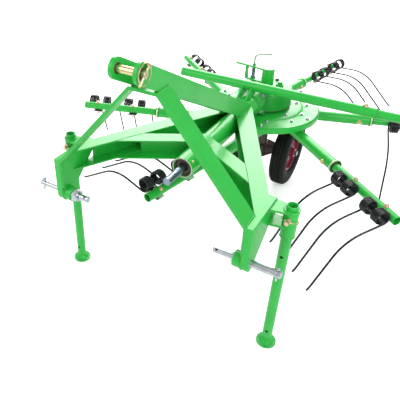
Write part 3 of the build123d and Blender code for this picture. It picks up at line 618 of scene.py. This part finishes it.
def half_tine_path(sizes, side):
    """Half of a double tine from the middle of its tie to its tip, as points and section normals,
    in the clamp's own frame: x out, y up, z along the arm. The tie runs along z, turns out in a
    quarter circle, winds into the coil, whose z grows evenly with the angle, and leaves as the leg."""
    under = -(sizes.arm_radius + sizes.wire + WIRE_PLAY)
    corner = sizes.coil * 0.4
    whole = sizes.turns * 2 * math.pi + math.radians(sizes.lift)
    rise = 2.08 * sizes.wire * whole / (2 * math.pi)
    inner = sizes.coil_pitch / 2 - rise / 2
    tie = stretched([(0, under, 0), (0, under, inner - corner)], 0.004)
    bend = arc((corner, under, inner - corner), (-1, 0, 0), (0, 0, 1), corner, 90, 7)[1:]
    run = stretched([(corner, under, inner), (sizes.coil_out, under, inner)], 0.008)[1:-1]
    angle = np.linspace(0, whole, sizes.turns * 26)[:, None]
    centre_y = under + sizes.coil
    coil = np.concatenate([sizes.coil_out + sizes.coil * np.sin(angle),
                           centre_y - sizes.coil * np.cos(angle), inner + rise * angle / whole], 1)
    leg = run_and_bend(coil[-1], sizes.lift, sizes.leg_first, sizes.bend_radius, sizes.bend, (7, 15))
    tip = run_and_bend(leg[-1], sizes.lift - sizes.bend, sizes.leg_last, sizes.kick_radius, -sizes.kick,
                       (9, 6))
    flat = np.concatenate([tie, bend])
    wound = np.concatenate([run, coil, leg, tip])
    tangent = unit(np.gradient(wound, axis=0))
    b = unit(Z - tangent[:, 2:3] * tangent)
    normals = np.concatenate([np.broadcast_to(Y, flat.shape), np.cross(b, tangent)])
    mirror = np.array([1, 1, side])
    return np.concatenate([flat, wound]) * mirror, normals * mirror


def double_tine(sizes):
    """Both halves of a tine, meeting in the middle of the tie, with rounded tips."""
    parts = []
    for side in (-1, 1):
        path, normals = half_tine_path(sizes, side)
        radius = np.full(len(path), sizes.wire)
        radius[-1] *= 0.7
        parts.append(tube(path, normals, radius))
    return joined(parts)


def placed(part, number, reach):
    """A part drawn in the clamp's frame, moved to its place on an arm."""
    along, out, up, foot = tine_frame(number)
    vertices, faces = part
    return vertices @ np.stack([out, up, -along]) + foot + along * reach, faces


def clamp_plate(sizes):
    """The dished plate under the tie: a bow across the arm, given thickness, carried along z."""
    under, length = sizes.arm_radius + 2 * sizes.wire + WIRE_PLAY, 0.046
    t = np.linspace(-1, 1, 15)[:, None]
    lower, upper = (np.concatenate([half * t, foot + rise * t ** 2, 0 * t], 1)
                    for half, foot, rise in ((0.031, -under - PLATE_THICK, 0.013), (0.029, -under, 0.011)))
    return prism(np.concatenate([lower, upper[::-1]]) - Z * length / 2, Z * length)


def clamp_bolt(sizes):
    """The bolt through arm and plate: nut and stud end above, head below."""
    low = sizes.arm_radius + 2 * sizes.wire + WIRE_PLAY + PLATE_THICK
    return joined([stamped(bolt(0.0088, 0.009, 0.0018, 0.003), [Y * sizes.arm_radius], Y),
                   stamped(bolt(0.0105, 0.009, 0.0018, 0.003), [-Y * low], -Y)])


class AddSpringTines(bpy.types.Operator):
    """Winds the double spring tines of every arm, with their clamp plates and bolts"""

    bl_idname = "rake.spring_tines"
    bl_label = "Spring tines"

    def execute(self, context):
        sizes = context.scene.rake_tines
        kinds = (("spring_tines_", double_tine(sizes), "black", 60),
                 ("tine_plates_", clamp_plate(sizes), "clamp", 35),
                 ("tine_bolts_", clamp_bolt(sizes), "pink", 35))
        reaches = (sizes.inner_tine, sizes.outer_tine)
        for number in range(ARM_COUNT):
            label = str(number + 1)
            for name, part, kind, sharp in kinds:
                pair = joined([placed(part, number, reach) for reach in reaches])
                piece = make_piece(name + label, pair, kind, "rotor", sharp)
                if name == "spring_tines_":
                    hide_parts("tines_" + label)
        return {"FINISHED"}


class PaintFrame(bpy.types.Operator):
    """Gives every solid of the machine its finish and smooths its rounds"""

    bl_idname = "rake.paint_frame"
    bl_label = "Paint the machine"

    def execute(self, context):
        slots = {row["node"]: row["material_slot"] for row in frame["record"]["subparts"]}
        smoothing = smoothing_group()
        for name, node in frame["nodes"].items():
            kind = OWN_FINISH.get(name, NODE_FINISH[slots[name]])
            node.data.materials.clear()
            node.data.materials.append(finish(kind))
            rounds = node.modifiers.new("smooth rounds", "NODES")
            rounds.node_group = smoothing
        return {"FINISHED"}


def tyre_profile(radius, width, bead, bead_width, ribs, groove):
    """Half-width and radius pairs round a tyre's section: bead, bulging side, shoulder, and a
    tread crown cut by grooves."""
    half, bulge = width / 2, 0.010
    waist, tall = (bead + radius) / 2 + 0.006, (radius - bead) * 0.36
    side = [(bead_width / 2, bead), (bead_width / 2 + 0.002, bead + 0.012)]
    side += [(half - bulge + bulge * math.cos(a), waist + tall * math.sin(a))
             for a in np.radians(np.linspace(-60, 62, 12))]
    crown = np.linspace(half - bulge, bulge - half, 6 * ribs + 1)
    height = radius - bulge * (crown / half) ** 4
    cut = np.where(np.arange(len(crown)) % 6 == 0, groove, 0.0)
    cut[0] = cut[-1] = 0.004
    far = [(-x, r) for x, r in side[::-1]]
    inner = [(-bead_width / 2 + 0.004, bead - 0.002), (bead_width / 2 - 0.004, bead - 0.002)]
    return side + list(zip(crown, height - cut)) + far + inner


class AddTyres(bpy.types.Operator):
    """Moulds a ribbed tyre round each rim"""

    bl_idname = "rake.tyres"
    bl_label = "Ribbed tyres"

    def execute(self, context):
        for name in SIDES:
            low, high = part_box("tyre_" + name)
            centre = np.array((low + high) / 2)
            rim_low, rim_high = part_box("wheel_rim_" + name)
            radius, width = (high.z - low.z) / 2, 0.9 * (high.x - low.x)
            bead = (rim_high.z - rim_low.z) / 2 - 0.008
            profile = tyre_profile(radius, width, bead, width * 0.52, 4, 0.0045)
            part = turned([(r, x) for x, r in profile + profile[:1]], 96, centre, X)
            piece = make_piece("ribbed_tyre_" + name, part, "rubber", "wheel_" + name, 40)
            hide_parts("tyre_" + name)
        return {"FINISHED"}


class AddHitchFittings(bpy.types.Operator):
    """Fits the locking pins, rings, collars and washers of the three hitch pins"""

    bl_idname = "rake.hitch_fittings"
    bl_label = "Hitch fittings"

    def execute(self, context):
        (left_low, left_high), (right_low, right_high) = corners("lower_pin_left"), corners("lower_pin_right")
        left, right, link = (middle(name) for name in ("lower_pin_left", "lower_pin_right", "top_link_pin"))
        from_end = 0.014
        lock = lynch_pin(moved(left, x=left_low[0] + from_end), unit((0, 0.25, 1)), X,
                         0.052, 0.0045, 0.025, 0.0016)
        make_piece("hitch_lock_left", lock, "zinc")
        lock = lynch_pin(moved(right, x=right_high[0] - from_end), unit((0, 0.15, 1)), unit((1, 0, 0.25)),
                         0.056, 0.004, 0.0175, 0.0016)
        make_piece("hitch_lock_right", lock, "zinc")
        boss, bore, deep = moved(left, x=corners("cheek_left")[1][0]), 0.0141, 0.026
        parts = [stamped(collar(bore, 0.027, deep), [boss], X),
                 stamped(washer(bore, 0.022, 0.004), [boss + X * deep], X)]
        make_piece("hitch_collar_left", joined(parts), "zinc")
        boss = moved(right, x=corners("cheek_right")[0][0])
        make_piece("hitch_collar_right", stamped(collar(0.0111, 0.019, 0.010), [boss], -X), "zinc")
        # Dark discs laid on the pins over their cross holes: painted shade for the dark inside of the holes.
        toward = unit((0, -0.6, 0.8))
        holes = [moved(left, x=left_high[0] - from_end) + toward * 0.0137,
                 moved(right, x=right_low[0] + from_end) + toward * 0.0107]
        make_piece("hitch_pin_hole_painted_shade", stamped(washer(0.0, 0.0052, 0.0006), holes, toward), "dark")
        link_end = moved(link, x=corners("top_link_pin")[1][0] - 0.005)
        lock = lynch_pin(link_end, unit((0, 0.72, 0.69)), X, 0.078, 0.0052, 0.034, 0.0015)
        make_piece("top_link_lock", lock, "yellow")
        faces = [moved(link, x=corners("top_link_plate_" + name)[1][0]) for name in ("right", "left")]
        make_piece("top_link_bushes", stamped(washer(0.0127, 0.0180, 0.0010), faces, X), "dark")
        return {"FINISHED"}


class AddStandFittings(bpy.types.Operator):
    """Fits the stands' rims, plungers, pull rings and foot welds"""

    bl_idname = "rake.stand_fittings"
    bl_label = "Stand fittings"

    def execute(self, context):
        sleeve_radius, leg_radius, foot = 0.026, 0.020, 0.008
        inner = leg_radius - 0.001
        fillet = [(inner, foot), (leg_radius + 0.011, foot), (leg_radius + 0.007, foot + 0.004),
                  (leg_radius + 0.002, foot + 0.012), (inner, foot + 0.016), (inner, foot)]
        knob = [(0, -0.006), (0.006, -0.006), (0.0085, -0.002), (0.0085, 0.004), (0, 0.004)]
        for name in SIDES:
            leg = middle("stand_leg_" + name)
            low, high = (corner[2] for corner in corners("stand_sleeve_" + name))
            bands = ((high - 0.002, 0.0026), (high - 0.014, 0.0016), (low + 0.002, 0.0014))
            rims = joined([ring(moved(leg, z=z), Z, sleeve_radius, wire, 36) for z, wire in bands])
            make_piece("sleeve_rims_" + name, rims, "green")
            axis = moved(leg, z=middle("sleeve_pin_" + name)[2])
            tip = moved(axis, y=corners("sleeve_pin_" + name)[0][1])
            nut = stamped(collar(0.0072, 0.0125, 0.009), [axis - Y * (sleeve_radius - 0.002)], -Y)
            make_piece("plunger_" + name, joined([nut, turned(knob, 16, tip, -Y)]), "pink")
            pull = ring(axis - (Y + Z) * 0.004, unit((0.12, 0.10, 1)), 0.0300, 0.0014, 40)
            make_piece("plunger_ring_" + name, pull, "yellow")
            screw = stamped(bolt(0.0060, 0.004, 0.0010), [axis + X * sleeve_radius - Z * 0.018], X)
            make_piece("sleeve_screw_" + name, screw, "yellow")
            top = corners("stand_leg_" + name)[1][2]
            parts = [turned(fillet, 40, moved(leg, z=0)),
                     ring(moved(leg, z=foot - 0.001), Z, 0.0375, 0.0024, 48),
                     ring(moved(leg, z=top - 0.001), Z, 0.0183, 0.0021, 36)]
            make_piece("stand_rings_" + name, joined(parts), "green", "stand_" + name)
        return {"FINISHED"}


class AddRotorFittings(bpy.types.Operator):
    """Bolts the arm sleeves to the disc and fits each arm's collar ring, seal and nut"""

    bl_idname = "rake.rotor_fittings"
    bl_label = "Rotor fittings"

    def execute(self, context):
        disc_top, step_radius, step = corners("rotor_disc")[1][2], 0.199, 0.008
        bolt_reaches, bolt_aside, nut_reach, nut_rise = (0.170, 0.225), 0.045, 0.508, 0.027
        ring_reach, seal_reach = 0.5665, 0.571
        heads, nuts, rings, seals = [], [], [], []
        for number in range(ARM_COUNT):
            along, trail, foot = arm_frame(number)
            for reach in bolt_reaches:
                for aside in (-bolt_aside, bolt_aside):
                    place = foot + along * reach + trail * aside
                    beyond = np.linalg.norm((place - ROTOR)[:2]) > step_radius
                    heads.append(moved(place, z=disc_top - (step if beyond else 0.0)))
            out = unit(trail - Z * 0.15)
            nuts.append((foot + along * nut_reach + out * nut_rise, out))
            seals.append(stamped(washer(0.0202, 0.0285, 0.0040), [foot + along * seal_reach], along))
            rings.append(ring(foot + along * ring_reach, along, 0.0302, 0.0036, 48))
        made = stamped(bolt(0.0085, 0.0072, 0.0016, 0.002), heads, Z, np.arange(len(heads)) * 0.7)
        make_piece("disc_bolts", made, "zinc", "rotor")
        make_piece("sleeve_nuts", stamped(bolt(0.0105, 0.009, 0.0025, 0.003), *zip(*nuts)), "yellow", "rotor")
        make_piece("sleeve_rings", joined(rings), "cream", "rotor")
        make_piece("sleeve_seals", joined(seals), "dark", "rotor")
        return {"FINISHED"}


class AddGearFittings(bpy.types.Operator):
    """Fits the gearbox bolts, the height screw's thread and nut, and the driveline's seal"""

    bl_idname = "rake.gear_fittings"
    bl_label = "Gearbox fittings"

    def execute(self, context):
        drive, face_y, corner = middle("driveline_tube")[2], -0.165, 0.042
        places = [at(x, face_y, drive + z) for x in (-corner, corner) for z in (-corner, corner)]
        made = stamped(bolt(0.0112, 0.0102, 0.002, 0.003), places, -Y, (0.2, 0.5, 0.9, 0.4))
        make_piece("neck_bolts", made, "zinc")
        low, high = (place[2] for place in corners("gearbox"))
        top = high - 0.032
        lid_bolts = ((-0.048, 0.064, 0.010), (-0.088, 0.039, 0.009), (0.020, 0.105, 0.009))
        made = joined([stamped(bolt(radius, 0.009, 0.002), [at(x, y, top)], Z) for x, y, radius in lid_bolts])
        make_piece("drum_bolts", made, "dark")
        # A thin dark ring round the drum's foot: painted shadow along the drum's lower edge, where it stands
        # on the disc.
        make_piece("drum_foot_painted_shadow", ring(at(0, 0, low + 0.003), Z, 0.1372, 0.0016, 72), "dark")
        make_piece("mast_weld", ring(at(0, 0, top), Z, 0.0330, 0.0040, 48), "weld")
        screw_at, turns, core, angle = 0.082, 24, 0.0078, math.radians(178)
        screw = at(screw_at * math.cos(angle), screw_at * math.sin(angle), 0)
        low, high = (corners("mast")[1][2] - below for below in (0.069, 0.009))
        height = np.linspace(low, high, 2 * turns + 1)
        radius = np.where(np.arange(len(height)) % 2, 0.0096, 0.0082)
        profile = [(core, low), *zip(radius, height), (core, high), (core, low)]
        make_piece("screw_thread", turned(profile, 24, screw), "steel", sharp=20)
        nut = stamped(collar(0.0081, 0.0125, 0.008), [screw + Z * (low + 0.001)], Z, 0.3)
        make_piece("screw_nuts", nut, "steel")
        mouth = moved(ROTOR, y=corners("driveline_tube")[0][1], z=drive)
        bore, rim, deep = 0.0190, 0.0398, 0.030
        profile = [(bore, deep), (bore, 0.010), (0.0230, 0.008), (0.0360, 0.011), (rim, 0.006), (rim, deep),
                   (bore, deep)]
        make_piece("shaft_seal", turned(profile, 40, mouth, Y), "dark")
        # A ring on the tube's mouth, coloured pale: a painted highlight along the mouth's edge.
        make_piece("tube_lip", ring(mouth + Y * 0.001, Y, 0.0432, 0.0026, 56), "seal")
        profile = [(0, 0), (0.0050, 0), (0.0050, 0.004), (0.0028, 0.006), (0.0036, 0.010), (0.0020, 0.013),
                   (0, 0.013)]
        seat = mouth + Y * 0.018 + unit((0.75, 0, 0.65)) * 0.0455
        make_piece("grease_nipple", turned(profile, 14, seat, unit((0.75, -0.2, 0.65))), "yellow")
        return {"FINISHED"}


class AddBoomFittings(bpy.types.Operator):
    """Fits the boom's clamp bolt, joint ring and screws"""

    bl_idname = "rake.boom_fittings"
    bl_label = "Boom fittings"

    def execute(self, context):
        low, high = corners("boom_tube")
        radius = 0.0225
        axis = np.array([0, (low[1] + high[1]) / 2, low[2] + radius])
        clamp = axis + X * (ROTOR[0] + 0.527) + Z * (radius - 0.001)
        parts = [stamped(collar(0.0061, 0.0125, 0.009), [clamp], Z, 0.4),
                 stamped(bolt(0.0085, 0.007, 0.001), [clamp + Z * 0.0095], Z, 0.9)]
        make_piece("boom_clamp", joined(parts), "pink")
        make_piece("boom_joint", ring(axis + X * (high[0] - 0.0008), X, 0.0208, 0.0017, 44), "dark")
        make_piece("boom_rim", ring(axis + X * (low[0] + 0.001), X, 0.0210, 0.0021, 44), "green")
        out = unit((0, 0.45, 0.9))
        screw = axis + X * (ROTOR[0] + 0.235) + out * radius
        make_piece("boom_screw", stamped(bolt(0.006, 0.0045, 0.001), [screw], out), "dark")
        face = moved(axis, x=corners("curtain_hanger")[1][0])
        parts = [stamped(bolt(0.0095, 0.008, 0.002, 0.003), [face - Z * 0.034], X),
                 stamped(washer(0.0, 0.0192, 0.003), [face], X)]
        make_piece("hanger_bolt", joined(parts), "zinc", "boom_slide_body")
        return {"FINISHED"}


class AddWheelFittings(bpy.types.Operator):
    """Fits the wheel bolts and valves"""

    bl_idname = "rake.wheel_fittings"
    bl_label = "Wheel fittings"

    def execute(self, context):
        bolt_circle, count = 0.044, 5
        turn = np.radians(np.arange(count) * 360 / count + 20)[:, None]
        stem = [(0, 0), (0.0052, 0), (0.0040, 0.012), (0.0034, 0.024), (0.0044, 0.026), (0.0044, 0.034),
                (0, 0.035)]
        for name, side in SIDES.items():
            hub = middle("wheel_rim_" + name)
            face = hub + X * (0.012 if side > 0 else 0.008)
            places = face + bolt_circle * (np.cos(turn) * Y + np.sin(turn) * Z)
            made = stamped(bolt(0.0085, 0.008, 0.0018, 0.003), places, X * side)
            make_piece("wheel_bolts_" + name, made, "zinc", "wheel_" + name)
            valve = turned(stem, 12, hub + X * side * 0.018 + Z * 0.0945, unit((side * 0.8, 0, -0.6)))
            make_piece("wheel_valve_" + name, valve, "rubber", "wheel_" + name)
        return {"FINISHED"}


class AddWelds(bpy.types.Operator):
    """Lays the weld beads along the frame's seams"""

    bl_idname = "rake.welds"
    bl_label = "Weld beads"

    def execute(self, context):
        beads = []
        plate, sunk, boss_radius, neck_radius = 0.026, 0.001, 0.0312, 0.0478
        link_top, link_aside = 1.0745, 0.050
        for name, side in SIDES.items():
            (low_x, front, _), (high_x, rear, _) = corners("cheek_" + name)
            outer = high_x if side > 0 else low_x
            inner, link = outer - side * plate, ROTOR[0] + side * link_aside
            face = inner - side * sunk
            pin, top = middle("lower_pin_" + name), corners("beam_" + name)[1][2]
            stand = middle("stand_leg_" + name)[1] - 0.036
            runs = (((face, front + 0.008, pin[2] + 0.036), (face, front + 0.008, top - 0.012), 0.0085),
                    ((inner, front + 0.003, top + 0.001), (inner, front + 0.078, top + 0.001), 0.0034),
                    ((outer, stand, top - 0.007), (outer, rear, top - 0.007), 0.0030),
                    ((outer, stand, top - 0.067), (outer, rear, top - 0.067), 0.0030),
                    (at(side * 0.298, -0.9548, top), at(side * 0.2365, -0.8419, top), 0.0016),
                    ((link, front + 0.016, link_top), (link, front + 0.080, link_top), 0.0036),
                    (at(side * link_aside, -0.468, top), at(side * link_aside, -0.324, top), 0.0036))
            for number, (start, end, radius) in enumerate(runs):
                up = X if abs(end[2] - start[2]) > 0.01 else Z
                beads.append(weld([start, end], radius, up, 7 * number + 2 + side))
            circle = arc(moved(pin, x=face), Y, Z, boss_radius, 360, 60)
            beads.append(weld(circle, 0.0036, X, 40 + side))
        circle = arc(at(0, -0.2135, middle("driveline_tube")[2]), X, Z, neck_radius, 360, 60)
        beads.append(weld(circle, 0.0040, Y, 50))
        make_piece("weld_beads", joined(beads), "weld", sharp=60)
        return {"FINISHED"}


class AddCurtain(bpy.types.Operator):
    """Hangs the swath curtain from its bar"""

    bl_idname = "rake.curtain"
    bl_label = "Swath curtain"

    def execute(self, context):
        bar, (low, high) = middle("curtain_bar"), corners("curtain")
        bar_low, bar_high = corners("curtain_bar")
        loop = (bar_high[2] - bar_low[2]) / 2 + 0.0022
        turn = np.radians(np.linspace(-90, 270, 25))[:, None]
        circle = np.concatenate([loop * np.cos(turn), loop * np.sin(turn)], 1)
        drop = bar[2] - loop - low[2] - 0.004
        fall = np.linspace(0, 1, 33)[1:]
        straight = np.stack([0 * fall, -loop - drop * fall], -1)
        section = np.concatenate([circle, straight])
        share = np.concatenate([np.zeros(len(circle)), fall])
        run = np.linspace(0, 1, 221)
        width, sway = high[1] - low[1], 0.0105
        fold = 0.6 * np.sin(2 * np.pi * 5.0 * run + 0.4) + 0.4 * np.sin(2 * np.pi * 8.3 * run + 1.7)
        grid = np.empty((len(section), len(run), 3))
        grid[..., 0] = bar[0] + section[:, :1] + sway * share[:, None] ** 1.2 * fold
        grid[..., 1] = low[1] + width * run
        grid[..., 2] = bar[2] + section[:, 1:]
        piece = make_piece("swath_curtain", surface(grid), "cloth", "boom_slide_body", 60)
        thick = piece.modifiers.new("thickness", "SOLIDIFY")
        thick.thickness = 0.0016
        thick.offset = 0.0
        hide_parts("curtain")
        count, inset, below, out = 7, 0.04, 0.014, X * 0.0012
        places = [np.array([bar[0], y, bar[2] - loop - below])
                  for y in np.linspace(low[1] + inset, high[1] - inset, count)]
        rivet = turned([(0, 0), (0.009, 0), (0.0085, 0.0012), (0.004, 0.0028), (0, 0.003)], 16)
        rivets = joined([stamped(rivet, [place + out for place in places], X),
                         stamped(rivet, [place - out for place in places], -X)])
        make_piece("curtain_rivets", rivets, "zinc", "boom_slide_body")
        return {"FINISHED"}


class RakeStage(bpy.types.PropertyGroup):
    """The studio's levels."""

    lamp_level: FloatProperty(name="Lamp level", description="Strength of all lamps together",
                              default=1.0, min=0)
    sky_level: FloatProperty(name="Sky level", description="Strength of the plain white surroundings",
                             default=0.60, min=0)


class AddStage(bpy.types.Operator):
    """Lays the floor, hangs the lamps and sets up the camera"""

    bl_idname = "rake.stage"
    bl_label = "Studio"

    def execute(self, context):
        sizes = context.scene.rake_stage
        lay_floor()
        light_world(sizes)
        for number, (x, y, z, size, watts) in enumerate(LAMPS):
            hang_lamp("soft_box_%d" % (number + 1), at(x, y, z), size, watts * sizes.lamp_level)
        set_camera(context.scene)
        context.scene.view_settings.view_transform = "Standard"
        return {"FINISHED"}


# What the lamps look at, and each lamp: place from the rotor axis, side of its square, power in watts
LAMP_TARGET = (0.0, -0.4, 0.5)
LAMPS = ((-1.7, 3.5, 3.1, 4.2, 370.0), (2.8, -2.4, 2.8, 2.4, 80.0), (-2.0, -3.2, 2.8, 2.4, 48.0))

# The camera, from the rotor axis: place, compass angle, height angle and roll in degrees
EYE = (0.801, -2.446, 1.705)
EYE_AZIMUTH = 33.221
EYE_ELEVATION = 34.460
EYE_ROLL = -0.586
EYE_LENS_MM = 45.06
EYE_SHIFT = (0.1485, -0.0253)


def lay_floor():
    """A plain pale floor that keeps its shadows. Camera rays see it lifted, so that it shows white."""
    extent, z = 30.0, -0.0005
    square = np.array([[(x, y, z) for x in (-extent, extent)] for y in (-extent, extent)])
    vertices, faces = surface(square)
    mesh = bpy.data.meshes.new("floor")
    mesh.from_pydata(vertices.tolist(), [], faces.tolist())
    floor = bpy.data.objects.new("floor", mesh)
    bpy.context.scene.collection.objects.link(floor)
    material, tree, shader = new_material("pale_floor")
    grain = use_group(tree, "mottle", {"Cloud size": 2.0, "Grain size": 60.0, "Bump": 0.0})
    tone = blended(tree, grain["Cloud"], (0.92, 0.92, 0.92, 1), (0.95, 0.95, 0.95, 1))
    rays = put(tree, "ShaderNodeLightPath")
    lift = product(tree, rays.outputs["Is Camera Ray"], 0.42)
    tree.links.new(tone, shader.inputs["Base Color"])
    tree.links.new(lift, shader.inputs["Emission Strength"])
    shader.inputs["Emission Color"].default_value = (1, 1, 1, 1)
    shader.inputs["Roughness"].default_value = 0.8
    shader.inputs["Specular IOR Level"].default_value = 0.1
    mesh.materials.append(material)


def light_world(sizes):
    """White surroundings: plain light on the object, and full white to camera rays."""
    world = bpy.data.worlds.new("white_studio")
    world.use_nodes = True
    tree = world.node_tree
    tree.nodes.clear()
    rays = put(tree, "ShaderNodeLightPath")
    level = spread(tree, rays.outputs["Is Camera Ray"], sizes.sky_level, 1.0)
    back = put(tree, "ShaderNodeBackground", {"Color": (1, 1, 1, 1), "Strength": level})
    put(tree, "ShaderNodeOutputWorld", {"Surface": back.outputs["Background"]})
    bpy.context.scene.world = world


def hang_lamp(name, place, size, watts):
    """A square soft box that looks at the machine."""
    light = bpy.data.lights.new(name, "AREA")
    light.shape = "SQUARE"
    light.size = size
    light.energy = watts
    lamp = bpy.data.objects.new(name, light)
    bpy.context.scene.collection.objects.link(lamp)
    target = Vector(at(*LAMP_TARGET))
    lamp.location = Vector(place)
    lamp.rotation_euler = (target - lamp.location).to_track_quat("-Z", "Y").to_euler()


def set_camera(scene):
    """The photograph's view, from the place, two angles and roll measured for it."""
    azimuth, elevation, roll = (math.radians(a) for a in (EYE_AZIMUTH, EYE_ELEVATION, EYE_ROLL))
    back = Vector((math.sin(azimuth) * math.cos(elevation), -math.cos(azimuth) * math.cos(elevation),
                   math.sin(elevation)))
    right = Vector((math.cos(azimuth), math.sin(azimuth), 0))
    above = back.cross(right)
    turned_right = right * math.cos(roll) + above * math.sin(roll)
    turned_above = above * math.cos(roll) - right * math.sin(roll)
    data = bpy.data.cameras.new("photo_view")
    data.lens = EYE_LENS_MM
    data.sensor_width = 36.0
    data.shift_x, data.shift_y = EYE_SHIFT
    camera = bpy.data.objects.new("photo_view", data)
    scene.collection.objects.link(camera)
    turn = Matrix((turned_right, turned_above, back)).transposed().to_4x4()
    camera.matrix_world = Matrix.Translation(Vector(at(*EYE))) @ turn
    scene.camera = camera


class RakePanel(bpy.types.Panel):
    """Lists the rake's pieces and settings."""

    bl_idname = "VIEW3D_PT_rake"
    bl_label = "Rotary hay rake"
    bl_space_type = "VIEW_3D"
    bl_region_type = "UI"
    bl_category = "Rake"

    def draw(self, context):
        scene = context.scene
        for settings in (scene.rake_colours, scene.rake_tines, scene.rake_stage):
            box = self.layout.box()
            for key in settings.__annotations__:
                box.prop(settings, key)
        for operator in OPERATORS:
            self.layout.operator(operator.bl_idname)


SETTINGS = {"rake_colours": RakeColours, "rake_tines": RakeTines, "rake_stage": RakeStage}
OPERATORS = (PaintFrame, AddSpringTines, AddTyres, AddHitchFittings, AddStandFittings, AddRotorFittings,
             AddGearFittings, AddBoomFittings, AddWheelFittings, AddWelds, AddCurtain, AddStage)


def register():
    """Adds the settings, the operators and the panel."""
    for kind in (*SETTINGS.values(), *OPERATORS, RakePanel):
        bpy.utils.register_class(kind)
    for name, kind in SETTINGS.items():
        setattr(bpy.types.Scene, name, PointerProperty(type=kind))


def unregister():
    """Takes them away again."""
    for name in SETTINGS:
        delattr(bpy.types.Scene, name)
    for kind in (RakePanel, *reversed(OPERATORS), *SETTINGS.values()):
        bpy.utils.unregister_class(kind)


def main():
    """Runs every operator in turn."""
    register()
    for operator in OPERATORS:
        group, name = operator.bl_idname.split(".")
        getattr(getattr(bpy.ops, group), name)()


if __name__ == "__main__":
    main()
